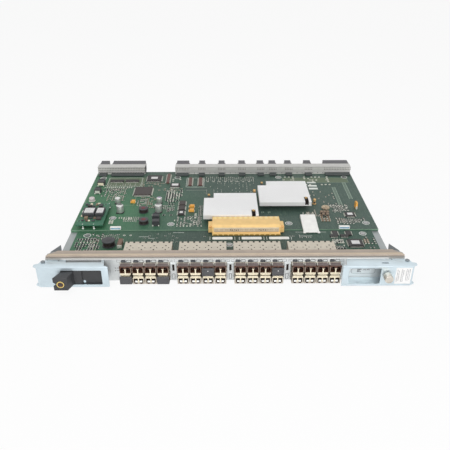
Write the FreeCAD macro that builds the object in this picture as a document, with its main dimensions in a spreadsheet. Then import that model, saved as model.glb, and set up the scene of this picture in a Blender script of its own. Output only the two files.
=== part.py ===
"""Switch line card for a storage-network chassis, with 32 ports and two cam ejectors.

Millimetres. X runs right along the faceplate, Y to the rear and Z up. The origin is the middle of
the faceplate's bottom front edge, level with the tray's underside.
"""
import FreeCAD, Part
import math
import os
import re
import Sketcher
from FreeCAD import Placement, Rotation, Vector

# Driving sizes: the sheet's cells, each with its own alias.
SIZES = {
    # faceplate, its end tabs and its gasket
    "panel_width": 405, "panel_height": 30.2, "panel_sheet": 1.5, "panel_bend": 2.2,
    "flange_depth": 14.5, "flange_corner": 5, "led_sill": 24.8, "led_height": 3.2, "led_width": 4.6,
    "led_dark_offset": -2.8, "led_light_offset": 3.2, "led_proud": 0.3, "led_depth": 4,
    "gasket_width": 405, "gasket_end": 4.5, "gasket_front": 2.4, "gasket_depth": 11, "gasket_thick": 2.8,
    "gasket_round": 1.2, "gasket_slope": 0.7, "tab_outer": 1.5, "tab_inner": 17.5, "tab_proud": 0.5,
    "tab_gap": 0.2, "tab_top": 0.5,
    # tray
    "tray_width": 394, "tray_back": 271.6, "tray_sheet": 1.2, "ledge_width": 9,
    "floor_front": 49, "cage_bay_side": 7,
    # boards
    "main_board_front": 89.1, "main_board_level": 12.3, "main_board_thick": 3,
    "port_board_back": 88.8, "port_board_thick": 3, "port_board_gap": 0.3, "middle_level": 12.6,
    # board screws and the posts under them
    "screw_head": 3, "screw_head_height": 1.7, "post_radius": 2.9,
    # port groups
    "group_middle": 5.6, "group_pitch": 64.6, "port_pitch": 14, "cage_wall": 0.4,
    "cage_height": 10.2, "cage_floor": 0.9, "cage_proud": 0.8, "cage_back": 45.6,
    "window_clear": 0.1, "vent_width": 1.8, "vent_place": 37.6,
    "cage_notch_width": 2.6, "cage_notch_depth": 2.4,
    # transceivers, in the frame of the plane half way between the two rows
    "nose_low": 3, "nose_height": 8.6, "nose_width": 13.4, "nose_proud": 9,
    "inner_low": 2.55, "inner_height": 8.4, "transceiver_back": 44.9,
    "socket_width": 5.2, "socket_pitch": 6.4, "socket_low": 4.1, "socket_height": 5.2,
    "socket_depth": 9, "keyway_width": 2.8, "keyway_height": 1.5,
    "sleeve_size": 2.2, "sleeve_recess": 2.5, "bail_drop": 2.4, "bail_width": 11.6,
    "bail_depth": 4.4, "bail_bar": 1.1,
    # dust plugs
    "plug_width": 13.8, "plug_height": 10, "plug_low": 0.4, "plug_depth": 2.2, "plug_gap": 0.3,
    "plug_edge": 0.8, "prong_width": 4.3, "prong_depth": 5, "prong_bore": 2.9,
    # bars between the port groups
    "separator_width": 6.8, "separator_proud": 1.4, "separator_foot": 1.2, "separator_head": 23.6,
    "separator_slot_width": 2.6, "separator_slot_low": 14, "separator_slot_height": 8.4,
    "separator_pocket_width": 4.2, "separator_pocket_low": 2.4, "separator_pocket_height": 7.6,
    "separator_pocket_depth": 0.6,
    # ejectors
    "ejector_front": 15.5, "ejector_back": 0.5, "ejector_foot": 2.2, "ejector_head": 28.2,
    "ejector_sheet": 1.3, "ejector_round": 2.5, "window_round": 1.5,
    "pivot_overhang": 1.5, "pivot_y": 3.8, "pivot_round": 3.3, "pin_radius": 1.5,
    "running_gap": 0.05, "pin_head_radius": 2.4, "pin_head_height": 0.7, "pin_head_gap": 0.15,
    # the ejectors' inner ends: how far the face laps over the last port, and the flanges stay clear
    "face_lap": 0.5, "flange_clear": 5.5,
    # along the ejectors: each start is measured in from the pivot, each frame out from the inner end
    "ejector_end": 3, "jaw_length": 8.8, "jaw_front": 12.4, "jaw_back": 8.6, "jaw_root": 1,
    "jaw_lift": 1.5, "flange_lead": 3, "left_window_start": 21, "left_window_frame": 7.5,
    "left_window_low": 5.3, "left_window_high": 24.3, "left_notch_start": 25,
    "left_notch_frame": 9, "left_notch_depth": 4, "right_window_start": 31,
    "right_window_frame": 7, "right_window_low": 4.7, "right_window_high": 25.4,
    "right_slot_start": 22, "right_slot_end": 29.5, "right_slot_front": 9.5,
    "right_slot_depth": 2,
    # pivot brackets and end brackets
    "bracket_sheet": 1.3, "bracket_foot": 4.1, "bracket_head": 26.3, "bracket_long": 13,
    "bracket_ear_long": 6, "bracket_corner": 1.6, "gusset_level": 25.4, "gusset_width": 10,
    "gusset_tip": 3, "gusset_reach": 35, "gusset_sheet": 1.3, "gusset_inset": 0.6,
    "gusset_shoulder": 20, "web_reach": 42, "web_foot": 1.5,
    # slider on the left ejector
    "slide_gap": 0.3, "track_sheet": 1.2, "track_start": 13, "track_frame": 3,
    "hood_front": 28, "hood_neck": 16, "hood_start": 15.7, "hood_end": 31,
    "neck_start": 21.7, "neck_end": 35.2, "hood_low": 6.5, "hood_high": 23, "hood_wall": 1.5,
    "hood_notch_depth": 3, "hood_notch_half": 3.2, "slider_sheet": 1.4, "slider_start": 17.5,
    "slider_end": 44, "slider_low": 4.1, "slider_high": 25.9, "slot_outer_clear": 0.6,
    "ring_place": 23.7, "ring_radius": 4.1, "ring_width": 0.9, "ring_proud": 0.4,
    "ring_hub_proud": 0.15,
    # captive thumbscrews
    "left_screw_place": 25.8, "left_screw_z": 14.4, "left_screw_head": 4.2,
    "left_screw_front": 24.6, "right_screw_place": 24.4, "right_screw_z": 17,
    "right_screw_head": 4.75,
    "right_screw_front": 26, "thumb_shank": 2, "thumb_tip": 0.8, "thumb_edge": 0.6, "thumb_gap": 0.3,
    "thumb_panel_hole": 2.6,
    # connectors at the rear edge
    "left_block_outer": 1.5, "left_block_inner": 74.7, "right_block_outer": 0.4,
    "right_block_inner": 272.6, "stiffener_wall": 263, "stiffener_top": 27.2,
    "stiffener_back": 275, "stiffener_sheet": 1.2, "shell_inset": 0.6, "shell_back": 283,
    "shell_top": 25.8, "module_back": 289, "module_top": 28.6, "feet_front": 253.5,
    "feet_top": 18.2, "feet_gap": 0.3,
    # connector that bridges the two boards
    "bridge_start": -16, "bridge_end": 70, "bridge_front": 76.5, "bridge_back": 103,
    "bridge_top": 27, "bridge_ear": 5, "bridge_ear_front": 82, "bridge_ear_back": 97,
    "bridge_ear_top": 23.5, "bridge_slope": 3, "bridge_lip": 2, "bridge_lip_top": 17,
    "bridge_pitch": 6.6, "bridge_slot_width": 1.4, "bridge_slot_depth": 3.4,
    "bridge_slot_high": 2.2, "contact_face_low": 18.2, "contact_face_high": 24.4,
    "contact_face_proud": 0.5,
    # heat sinks
    "sink_top": 29, "sink_base": 22.6, "sink_base_thick": 1.6, "fin_pitch": 3, "fin_gap": 1.8,
    "sink_notch": 13, "pedestal_size": 44, "chip_thick": 3, "chip_size": 40,
    "front_sink_x": -28, "front_sink_y": 103.6, "front_sink_width": 72, "front_sink_depth": 64,
    "rear_sink_x": 47.6, "rear_sink_y": 140, "rear_sink_width": 70.4, "rear_sink_depth": 66.4,
    "sink_slot_width": 5, "sink_slot_long": 7, "sink_pin": 1.3, "sink_pin_head": 2.3,
    "sink_pin_head_height": 2, "sink_pin_top": 30.6, "sink_slot_from_side": 6.3,
    "sink_slot_from_front": 11,
    "front_anchor_out": -1.7, "front_anchor_back": 74.4, "rear_anchor_out": 7.3, "rear_anchor_back": 20,
    # power converter module
    "converter_x": 23.5, "converter_y": 121.6, "converter_width": 35, "converter_depth": 62,
    "converter_level": 20.6, "converter_thick": 1.6, "converter_pin": 1.2,
    "converter_pin_inset": 3.2, "core_width": 19, "core_depth": 25, "core_top": 27,
    "core_waist": 9,
    # control processor
    "processor_x": 79.4, "processor_y": 198.5, "processor_size": 28, "processor_lead": 2,
    "processor_lead_thick": 0.6, "processor_high": 3,
    # cover over the wire jumpers, and the clips along the joint
    "cover_x": 110, "cover_width": 20, "cover_front": 78, "cover_back": 121, "cover_top": 20,
    "cover_wall": 1.5, "clip_width": 14, "clip_front": 89.6, "clip_back": 98.6,
    "clip_height": 5, "clip_sole": 1, "clip_slot": 8, "clip_slot_depth": 3.4, "left_clip_x": 57,
    "right_clip_x": 43.5,
}

# Parts on the boards: which of the tray's edges x is measured in from, x, middle y, size along x,
# size along y, height. Each becomes five cells.
BLOCKS = {
    "memory_one": ("left", 35.3, 236, 20.5, 8.5, 2.2), "memory_two": ("left", 58.2, 236, 20.5, 8.5, 2.2),
    "flash_chip": ("left", 91, 244, 24, 22, 2.6), "buffer_chip": ("left", 124, 220, 16, 14, 2.4),
    "driver_one": ("left", 138.5, 133, 10, 12, 2.2), "driver_two": ("left", 138.5, 147.3, 10, 12, 2.2),
    "driver_three": ("left", 138.5, 161.6, 10, 12, 2.2), "clock_chip": ("middle", 168, 127, 15, 14, 2.2),
    "relay_one": ("left", 106, 118, 8, 8, 7), "relay_two": ("left", 107.5, 103, 8, 8, 7),
    "relay_three": ("left", 12, 225, 10, 12, 6), "relay_four": ("left", 13, 200, 8, 10, 6),
    "tantalum_one": ("left", 152, 139, 8, 5, 4), "tantalum_two": ("left", 152, 151, 8, 5, 4),
    "tantalum_three": ("left", 69, 166, 7, 5, 4), "tantalum_four": ("right", 16.2, 148.5, 5, 9, 9),
    "filter_block": ("middle", 135, 140, 16, 18, 7),
}
PORT_BLOCKS = {
    "management_chip": ("right", 37, 54.7, 20, 18, 3), "sense_one": ("right", 60, 73.3, 10, 7.2, 2.4),
    "sense_two": ("right", 47, 73.3, 10, 7.2, 2.4), "fuse_block": ("left", 69, 54, 5, 13, 6),
}
# Round parts: the edge, x from it, middle y, radius, height.
ROUNDS = {
    "can_one": ("left", 55.6, 138, 5, 10.5), "can_two": ("left", 107.3, 139, 5, 10.5),
    "can_three": ("left", 48, 165, 4, 8), "can_four": ("left", 106, 165, 4, 8),
    "coil_one": ("left", 87, 139, 6.5, 6), "coil_two": ("left", 91, 107, 6.5, 6),
    "oscillator": ("left", 10.4, 172, 4.5, 5),
}
PORT_ROUNDS = {"coil_three": ("left", 55, 53.7, 8, 8)}
# Board screws: the edge, x from it, y.
MAIN_SCREWS = (("left", 12.2, 248.6), ("left", 125.8, 249.7), ("middle", 83.4, 249.7),
               ("right", 12.2, 249.7), ("left", 48.2, 121), ("left", 126.7, 104),
               ("middle", 83.7, 105), ("right", 12.2, 105.5))
PORT_SCREWS = (("left", 23.4, 78), ("right", 22.2, 80), ("middle", 5.4, 54))
# Black connector modules at the rear edge: outer and inner end, in from the tray's nearer edge.
MODULES = {
    "left": ((3.5, 16), (22.5, 73)),
    "right": ((1.5, 40), (60.5, 71), (91.5, 101), (116, 126), (135, 145), (164, 174),
              (195.9, 205.4), (227, 236), (252, 271)),
}

for names, table in ((("x", "y", "long", "deep", "high"), {**BLOCKS, **PORT_BLOCKS}),
                     (("x", "y", "radius", "high"), {**ROUNDS, **PORT_ROUNDS})):
    for part, (_, *numbers) in table.items():
        SIZES.update({f"{part}_{name}": number for name, number in zip(names, numbers)})
for board, screws in (("main", MAIN_SCREWS), ("port", PORT_SCREWS)):
    for screw, (_, x, y) in enumerate(screws):
        SIZES.update({f"{board}_screw_{screw}_x": x, f"{board}_screw_{screw}_y": y})
for edge, modules in MODULES.items():
    for module, (outer, inner) in enumerate(modules):
        SIZES.update({f"{edge}_module_{module}_outer": outer, f"{edge}_module_{module}_inner": inner})

DOC = FreeCAD.newDocument("line_card")
SHEET = DOC.addObject("Spreadsheet::Sheet", "Sizes")
for row, (alias, number) in enumerate(SIZES.items(), start=1):
    SHEET.set(f"A{row}", alias)
    SHEET.set(f"B{row}", str(number))
    SHEET.setAlias(f"B{row}", alias)
DOC.recompute()

GROUPS = range(4)
COLUMNS = range(4)
UP, DOWN = 1, -1
LEFT, RIGHT = -1, 1
EDGES = {"left": "-tray_width / 2 +", "middle": "", "right": "tray_width / 2 -"}
OVERRUN = 1       # how far a cut runs past the faces that it opens
ROUND_SIDES = 24  # small round parts are prisms of this many sides, which keeps the model light
NODES = {}

# Levels and places that follow from the driving sizes.
BOARD_TOP = "(main_board_level + main_board_thick)"
PORT_TOP = "(middle_level + port_board_thick / 2)"
PORT_UNDER = "(middle_level - port_board_thick / 2)"
CAGE_TOP = "(port_board_thick / 2 + cage_height)"
FACE_BACK = "(-ejector_front + ejector_sheet)"
SLIDER_FRONT = f"({FACE_BACK} + slide_gap)"
SLIDER_BACK = f"({SLIDER_FRONT} + slider_sheet)"
TRACK_FRONT = f"({SLIDER_BACK} + slide_gap)"
TRACK_BACK = f"({TRACK_FRONT} + track_sheet)"
PIVOT = "(panel_width / 2 + pivot_overhang)"
LEFT_SCREW = f"(-{PIVOT} + left_screw_place)"
RIGHT_SCREW = f"({PIVOT} - right_screw_place)"
PORTS_END = "(group_middle + 1.5 * group_pitch + 2 * port_pitch)"


def full(text):
    """The expression with each size's name pointed at its cell in the sheet."""
    return re.sub(r"[a-z]\w*", lambda m: "Sizes." + m.group() if m.group() in SIZES else m.group(), str(text))


def number(text):
    return float(SHEET.evalExpression(full(text)))


def inward(side, *distances):
    """Places along an ejector, each a distance in from its pivot."""
    return [f"{side} * ({PIVOT} - ({distance}))" for distance in distances]


def outward(side, distance):
    """A place along an ejector, a distance out from the inner end of its face."""
    return f"{side} * ({PORTS_END} - face_lap + {distance})"


def across(edge, distance):
    """The x of something measured in from the tray's left or right edge, or from the middle."""
    return f"({EDGES[edge]} {distance})"


def node(label, item):
    """Name an object as one sub-part of the card."""
    item.Label = label
    NODES[label] = item
    return item


# ---------------------------------------------------------------- primitives bound to the sheet
def box(x, y, z):
    """A block between two ends, each an expression, on X, Y and Z."""
    block = DOC.addObject("Part::Box", "Block")
    for size, axis, (low, high) in zip(("Length", "Width", "Height"), "xyz", (x, y, z)):
        block.setExpression(size, full(f"({high}) - ({low})"))
        block.setExpression(f"Placement.Base.{axis}", full(low))
    return block


def upright(radius, x, y, z, sides=ROUND_SIDES):
    """A many-sided post at x, y between two levels."""
    rod = DOC.addObject("Part::Prism", "Upright")
    rod.Polygon = sides
    rod.setExpression("Circumradius", full(radius))
    rod.setExpression("Height", full(f"({z[1]}) - ({z[0]})"))
    for axis, place in zip("xyz", (x, y, z[0])):
        rod.setExpression(f"Placement.Base.{axis}", full(place))
    return rod


def lying(radius, x, z, y, sides=ROUND_SIDES):
    """A many-sided rod along Y at x, z between two places, the rear one first."""
    rod = upright(radius, x, y[0], (z, z), sides)
    rod.setExpression("Height", full(f"({y[0]}) - ({y[1]})"))
    rod.Placement = Placement(Vector(), Rotation(Vector(1, 0, 0), 90))
    return rod


def fused(parts):
    whole = DOC.addObject("Part::MultiFuse", "Fused")
    whole.Shapes = parts
    return whole


def without(base, tools):
    """The base with every tool cut away."""
    rest = DOC.addObject("Part::Cut", "Cut")
    rest.Base = base
    rest.Tool = tools[0] if len(tools) == 1 else fused(tools)
    return rest


def group(parts):
    """Several separate solids as one sub-part."""
    whole = DOC.addObject("Part::Compound", "Group")
    whole.Links = parts
    return whole


def copy_of(master, x, turned=False):
    """The master put at x on the plane between the port rows, turned half round for the lower row."""
    link = DOC.addObject("App::Link", "Copy")
    link.LinkedObject = master
    link.LinkTransform = True
    link.Placement = Placement(Vector(), Rotation(Vector(0, 1, 0), 180 if turned else 0))
    link.setExpression("Placement.Base.x", full(x))
    link.setExpression("Placement.Base.z", full("middle_level"))
    return link


# ---------------------------------------------------------------- sketched features
NORMAL = {"XY": 1, "XZ": -1, "YZ": 1}   # which way each origin plane's normal runs along its axis


def new_body(label):
    body = DOC.addObject("PartDesign::Body", "Body")
    body.Label = label
    return body


def arc_between(start, end, radius):
    """The shorter arc from start to end: counter-clockwise for a positive radius."""
    chord = end - start
    rise = math.sqrt(max(radius ** 2 - (chord.Length / 2) ** 2, 0))
    across = Vector(-chord.y, chord.x, 0).normalize() * math.copysign(rise, radius)
    middle = (start + end) / 2 + across
    first, last = (start, end) if radius > 0 else (end, start)
    angles = [math.atan2(p.y - middle.y, p.x - middle.x) for p in (first, last)]
    circle = Part.Circle(middle, Vector(0, 0, 1), abs(radius))
    return Part.ArcOfCircle(circle, angles[0], angles[1])


def draw_outline(sketch, outline):
    """A closed outline: points (x, y), or (x, y, r) where an arc of radius r leads to the next."""
    places = [Vector(number(point[0]), number(point[1]), 0) for point in outline]
    ends = []
    for here, point in enumerate(outline):
        following = places[(here + 1) % len(places)]
        radius = number(point[2]) if len(point) > 2 else 0
        if radius:
            edge = sketch.addGeometry(arc_between(places[here], following, radius), False)
            sketch.setExpression(f"Constraints[{sketch.addConstraint(Sketcher.Constraint('Radius', edge, abs(radius)))}]",
                                 full(f"abs({point[2]})"))
        else:
            edge = sketch.addGeometry(Part.LineSegment(places[here], following), False)
        ends.append((edge, 2, 1) if radius < 0 else (edge, 1, 2))
    for here, (edge, start, end) in enumerate(ends):
        after, after_start, _ = ends[(here + 1) % len(ends)]
        sketch.addConstraint(Sketcher.Constraint("Coincident", edge, end, after, after_start))
        for kind, text, place in (("DistanceX", outline[here][0], places[here].x),
                                  ("DistanceY", outline[here][1], places[here].y)):
            index = sketch.addConstraint(Sketcher.Constraint(kind, -1, 1, edge, start, place))
            sketch.setExpression(f"Constraints[{index}]", full(text))


def draw_circle(sketch, x, y, radius):
    edge = sketch.addGeometry(Part.Circle(Vector(number(x), number(y), 0), Vector(0, 0, 1), number(radius)), False)
    for kind, text in (("DistanceX", x), ("DistanceY", y)):
        index = sketch.addConstraint(Sketcher.Constraint(kind, -1, 1, edge, 3, number(text)))
        sketch.setExpression(f"Constraints[{index}]", full(text))
    index = sketch.addConstraint(Sketcher.Constraint("Radius", edge, number(radius)))
    sketch.setExpression(f"Constraints[{index}]", full(radius))


def rectangle(x, y):
    """The outline between two ends on each sketch axis."""
    return [(x[0], y[0]), (x[1], y[0]), (x[1], y[1]), (x[0], y[1])]


def sketched(body, plane, level, outlines=(), circles=()):
    """A sketch parallel to one of the body's own origin planes, at a level along its axis."""
    role = f"{plane}_Plane"
    sketch = body.newObject("Sketcher::SketchObject", "Sketch")
    sketch.AttachmentSupport = [([f for f in body.Origin.OriginFeatures if f.Role == role][0], "")]
    sketch.MapMode = "FlatFace"
    sketch.setExpression("AttachmentOffset.Base.z", full(f"{NORMAL[plane]} * ({level})"))
    for outline in outlines:
        draw_outline(sketch, outline)
    for circle in circles:
        draw_circle(sketch, *circle)
    return sketch


def pad(body, plane, span, outlines=(), circles=()):
    """Material between the span's two levels."""
    feature = body.newObject("PartDesign::Pad", "Pad")
    feature.Profile = sketched(body, plane, span[0], outlines, circles)
    feature.setExpression("Length", full(f"({span[1]}) - ({span[0]})"))
    feature.Reversed = NORMAL[plane] < 0
    return feature


def pocket(body, plane, span, outlines=(), circles=()):
    """A cut between the span's two levels."""
    feature = body.newObject("PartDesign::Pocket", "Pocket")
    feature.Profile = sketched(body, plane, span[0], outlines, circles)
    feature.setExpression("Length", full(f"({span[1]}) - ({span[0]})"))
    feature.Reversed = NORMAL[plane] > 0
    return feature


def repeat(body, features, axis, step, count):
    """The features again and again along a sketch axis, H_Axis or V_Axis."""
    pattern = body.newObject("PartDesign::LinearPattern", "Pattern")
    pattern.Originals = features
    pattern.Direction = (features[0].Profile[0], [axis])
    pattern.Occurrences = count
    pattern.setExpression("Length", full(f"({step}) * {count - 1}"))
    body.Tip = pattern
    return pattern


def rounded(body, radius, chosen, kind="Fillet"):
    """Fillet or chamfer the tip's straight edges that the test picks by direction and middle."""
    DOC.recompute()
    base = body.Tip
    names = [f"Edge{index}" for index, edge in enumerate(base.Shape.Edges, start=1)
             if edge.Curve.TypeId == "Part::GeomLine" and chosen(edge.Curve.Direction, edge.CenterOfMass)]
    feature = body.newObject(f"PartDesign::{kind}", kind)
    feature.Base = (base, names)
    feature.setExpression("Radius" if kind == "Fillet" else "Size", full(radius))
    body.Tip = feature
    return feature


def near(first, second):
    return abs(first - second) < 0.01


# ---------------------------------------------------------------- sheet metal
def carrier_tray():
    """Floor, side walls and inward ledges folded from one sheet, with the floor cut back for the cages."""
    body = new_body("carrier_tray")
    half, wall = "tray_width / 2", "(tray_width / 2 - tray_sheet)"
    ledge, under = "(tray_width / 2 - ledge_width)", "(main_board_level - tray_sheet)"
    section = [(half, 0), (half, "main_board_level"), (ledge, "main_board_level"), (ledge, under),
               (wall, under), (wall, "tray_sheet")]
    mirrored = [(f"-{x}" if x != half else f"-({half})", z) for x, z in reversed(section)]
    pad(body, "XZ", ("panel_sheet", "tray_back"), [section + mirrored])
    inner = f"({half} - cage_bay_side)"
    pocket(body, "XY", (-OVERRUN, f"tray_sheet + {OVERRUN}"),
           [rectangle((f"-{inner}", inner), (0, "floor_front"))])
    rounded(body, "ejector_round", lambda way, place: abs(way.z) > 0.9
            and near(place.y, number("floor_front")))
    return node("carrier_tray", body)


def faceplate():
    """Front plate and top flange bent from one sheet, with a window for each cage pair."""
    body = new_body("faceplate")
    inside, under = "panel_sheet", "(panel_height - panel_sheet)"
    pad(body, "YZ", ("-panel_width / 2", "panel_width / 2"),
        [[(0, 0), (inside, 0), (inside, "panel_height - panel_bend", "-(panel_bend - panel_sheet)"),
          ("panel_bend", under), ("flange_depth", under), ("flange_depth", "panel_height"),
          ("panel_bend", "panel_height", "panel_bend"), (0, "panel_height - panel_bend")]])
    first = "(group_middle - 1.5 * group_pitch)"
    half = "(2 * port_pitch + cage_wall / 2 + window_clear)"
    rise = f"({CAGE_TOP} + window_clear)"
    windows = [rectangle((f"{first} - {half}", f"{first} + {half}"),
                         (f"middle_level - {rise}", f"middle_level + {rise}"))]
    for column in COLUMNS:
        for offset in ("led_dark_offset", "led_light_offset"):
            middle = f"{first} + ({column} - 1.5) * port_pitch + {offset}"
            windows.append(rectangle((f"{middle} - led_width / 2", f"{middle} + led_width / 2"),
                                     ("led_sill", "led_sill + led_height")))
    through = (-OVERRUN, "(panel_sheet + panel_bend) / 2")
    cuts = pocket(body, "XZ", through, windows)
    repeat(body, [cuts], "H_Axis", "group_pitch", len(GROUPS))
    pocket(body, "XZ", through, circles=[(LEFT_SCREW, "left_screw_z", "thumb_panel_hole"),
                                         (RIGHT_SCREW, "right_screw_z", "thumb_panel_hole")])
    tab = ("ejector_head + tab_gap", "panel_height - tab_top")
    pad(body, "XZ", ("-tab_proud", "panel_sheet - tab_proud"),
        [rectangle((f"{side} * (panel_width / 2 - tab_inner)", f"{side} * (panel_width / 2 - tab_outer)"), tab)
         for side in (LEFT, RIGHT)])
    rounded(body, "flange_corner", lambda way, place: abs(way.z) > 0.9
            and near(place.y, number("flange_depth")), "Chamfer")
    return node("faceplate", body)


def emi_gasket():
    """Fabric-covered strip glued along the top flange, highest near its front edge."""
    body = new_body("emi_gasket")
    back, top = "(gasket_front + gasket_depth)", "(panel_height + gasket_thick)"
    end = "(gasket_width / 2)"
    pad(body, "YZ", (f"-{end}", end),
        [[("gasket_front", "panel_height"), (back, "panel_height"),
          (back, f"{top} - gasket_slope - gasket_round", "gasket_round"),
          (f"{back} - gasket_round", f"{top} - gasket_slope"),
          ("gasket_front + gasket_round", top, "gasket_round"),
          ("gasket_front", f"{top} - gasket_round")]])
    far = f"({end} + {OVERRUN})"
    pocket(body, "XY", (f"panel_height - {OVERRUN}", f"{top} + {OVERRUN}"),
           [[(f"{side} * {end}", "gasket_front"), (f"{side} * {far}", "gasket_front"),
             (f"{side} * {far}", f"{back} + {OVERRUN}"),
             (f"{side} * ({end} - gasket_end)", f"{back} + {OVERRUN}")] for side in (LEFT, RIGHT)])
    return node("emi_gasket", body)


def pivot_bracket(side, name):
    """Folded clevis on the faceplate's front, with an ear above and below for the ejector's pin."""
    body = new_body(name)
    pivot, back, inner = inward(side, 0, "bracket_long", "bracket_ear_long")
    plate = rectangle((back, f"{side} * panel_width / 2"), ("-bracket_sheet", 0))
    tip, front = f"{pivot} + {side} * pivot_round", "(-pivot_y - pivot_round)"
    ear = [(inner, "-bracket_sheet"), (inner, front), (f"{tip} - {side} * bracket_corner", front),
           (tip, f"{front} + bracket_corner"), (tip, "-pivot_y"), (pivot, "-bracket_sheet")]
    pad(body, "XY", ("bracket_foot", "bracket_head"), [plate])
    for low, high in (("bracket_foot", "bracket_foot + bracket_sheet"),
                      ("bracket_head - bracket_sheet", "bracket_head")):
        pad(body, "XY", (low, high), [ear])
    pocket(body, "XY", (f"bracket_foot - {OVERRUN}", f"bracket_head + {OVERRUN}"),
           circles=[(pivot, "-pivot_y", "pin_radius")])
    return node(name, body)


def end_bracket(side, name):
    """Side web against the tray, folded over into a triangular gusset behind the faceplate."""
    body = new_body(name)
    inner, outer = "(tray_width / 2)", "(tray_width / 2 + gusset_sheet)"
    top, root = "gusset_level + gusset_sheet", f"{side} * ({inner} - gusset_width)"
    pad(body, "YZ", (inner, outer) if side > 0 else (f"-{outer}", f"-{inner}"),
        [[("panel_sheet", "web_foot"), ("web_reach", "web_foot"), ("web_reach", "main_board_level"),
          ("gusset_shoulder", top), ("panel_sheet", top)]])
    wing = f"{side} * (panel_width / 2 - gusset_inset)"
    pad(body, "XY", ("gusset_level", top),
        [[(wing, "panel_sheet"), (wing, "gusset_shoulder"),
          (f"{side} * ({inner} - gusset_tip)", "gusset_reach"),
          (root, "flange_depth"), (root, "panel_sheet")]])
    return node(name, body)


def pivot_pins():
    """One riveted pin through each ejector's two flanges and its bracket's ears."""
    pins = []
    for side in (LEFT, RIGHT):
        x, y = inward(side, 0)[0], "-pivot_y"
        head = "(ejector_head + pin_head_gap)"
        pins.append(fused([
            upright("pin_radius", x, y, ("ejector_foot - pin_head_height", head)),
            upright("pin_head_radius", x, y, (head, f"{head} + pin_head_height"))]))
    return node("pivot_pins", group(pins))


# ---------------------------------------------------------------- ejectors
def ejector(side, name):
    """Cam lever of channel section: a windowed face, two flanges and a hooked jaw at its outer end."""
    body = new_body(name)
    pivot, outer, jaw, root, nose = inward(
        side, 0, "-ejector_end", "-jaw_length", "-pivot_round - jaw_root", "-pivot_round")
    inner, flange_end = outward(side, 0), outward(side, "face_lap + flange_clear")
    turn = f"{side} * ejector_round"
    pad(body, "XY", ("ejector_foot", "ejector_head"), [
        [(inner, "-ejector_front"), (outer, "-ejector_front"), (jaw, "-jaw_front"),
         (jaw, "-jaw_back"), (root, "-jaw_back + jaw_lift"),
         (nose, "-pivot_y", f"{side} * pivot_round"), (pivot, "-ejector_back"),
         (f"{flange_end} + {turn}", "-ejector_back", turn),
         (flange_end, "-ejector_back - ejector_round"),
         (f"{flange_end} - {side} * jaw_root", f"{FACE_BACK} + flange_lead"),
         (inner, FACE_BACK)]])
    pocket(body, "XY", ("ejector_foot + ejector_sheet", "ejector_head - ejector_sheet"),
           [rectangle((f"{inner} - {side} * {OVERRUN}", f"{jaw} + {side} * {OVERRUN}"),
                      (FACE_BACK, OVERRUN))])
    top = ("ejector_head - 2 * ejector_sheet", f"ejector_head + {OVERRUN}")
    through = (f"-ejector_front - {OVERRUN}", f"{FACE_BACK} + {OVERRUN}")
    if side == LEFT:
        window = (inward(side, "left_window_start")[0], outward(side, "left_window_frame"))
        heights = ("left_window_low", "left_window_high")
        notch = (inward(side, "left_notch_start")[0], outward(side, "left_notch_frame"))
        pocket(body, "XY", top, [rectangle(notch, ("-ejector_back - left_notch_depth", OVERRUN))])
    else:
        window = (inward(side, "right_window_start")[0], outward(side, "right_window_frame"))
        heights = ("right_window_low", "right_window_high")
        pocket(body, "XZ", through,
               circles=[(RIGHT_SCREW, "right_screw_z", "thumb_shank + running_gap")])
        pocket(body, "XY", top, [rectangle(inward(side, "right_slot_start", "right_slot_end"),
                                           ("-right_slot_front", "-right_slot_front + right_slot_depth"))])
    pocket(body, "XZ", through, [rectangle(window, heights)])
    pocket(body, "XY", (f"ejector_foot - {OVERRUN}", f"ejector_head + {OVERRUN}"),
           circles=[(pivot, "-pivot_y", "pin_radius + running_gap")])
    sides = [number(place) for place in window]
    rounded(body, "window_round", lambda way, place: abs(way.y) > 0.9
            and near(place.y, number(f"{FACE_BACK} - ejector_sheet / 2"))
            and (near(place.x, sides[0]) or near(place.x, sides[1])))
    return node(name, body)


def slider_track():
    """Backing plate between the left ejector's flanges: the slider runs on it and it holds a screw."""
    body = new_body("slider_track")
    pad(body, "XZ", (TRACK_FRONT, TRACK_BACK),
        [rectangle((inward(LEFT, "track_start")[0], outward(LEFT, "track_frame")),
                   ("ejector_foot + ejector_sheet", "ejector_head - ejector_sheet"))])
    pocket(body, "XZ", (f"{TRACK_FRONT} - {OVERRUN}", f"{TRACK_BACK} + {OVERRUN}"),
           circles=[(LEFT_SCREW, "left_screw_z", "thumb_shank + running_gap")])
    return node("slider_track", body)


def loft(body, kind, sections):
    """A loft between sketches on planes across Y."""
    drawn = [sketched(body, "XZ", level, [outline]) for level, outline in sections]
    feature = body.newObject(f"PartDesign::{kind}", kind)
    feature.Profile = drawn[0]
    feature.Sections = drawn[1:]
    feature.Ruled = True
    return feature


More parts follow.
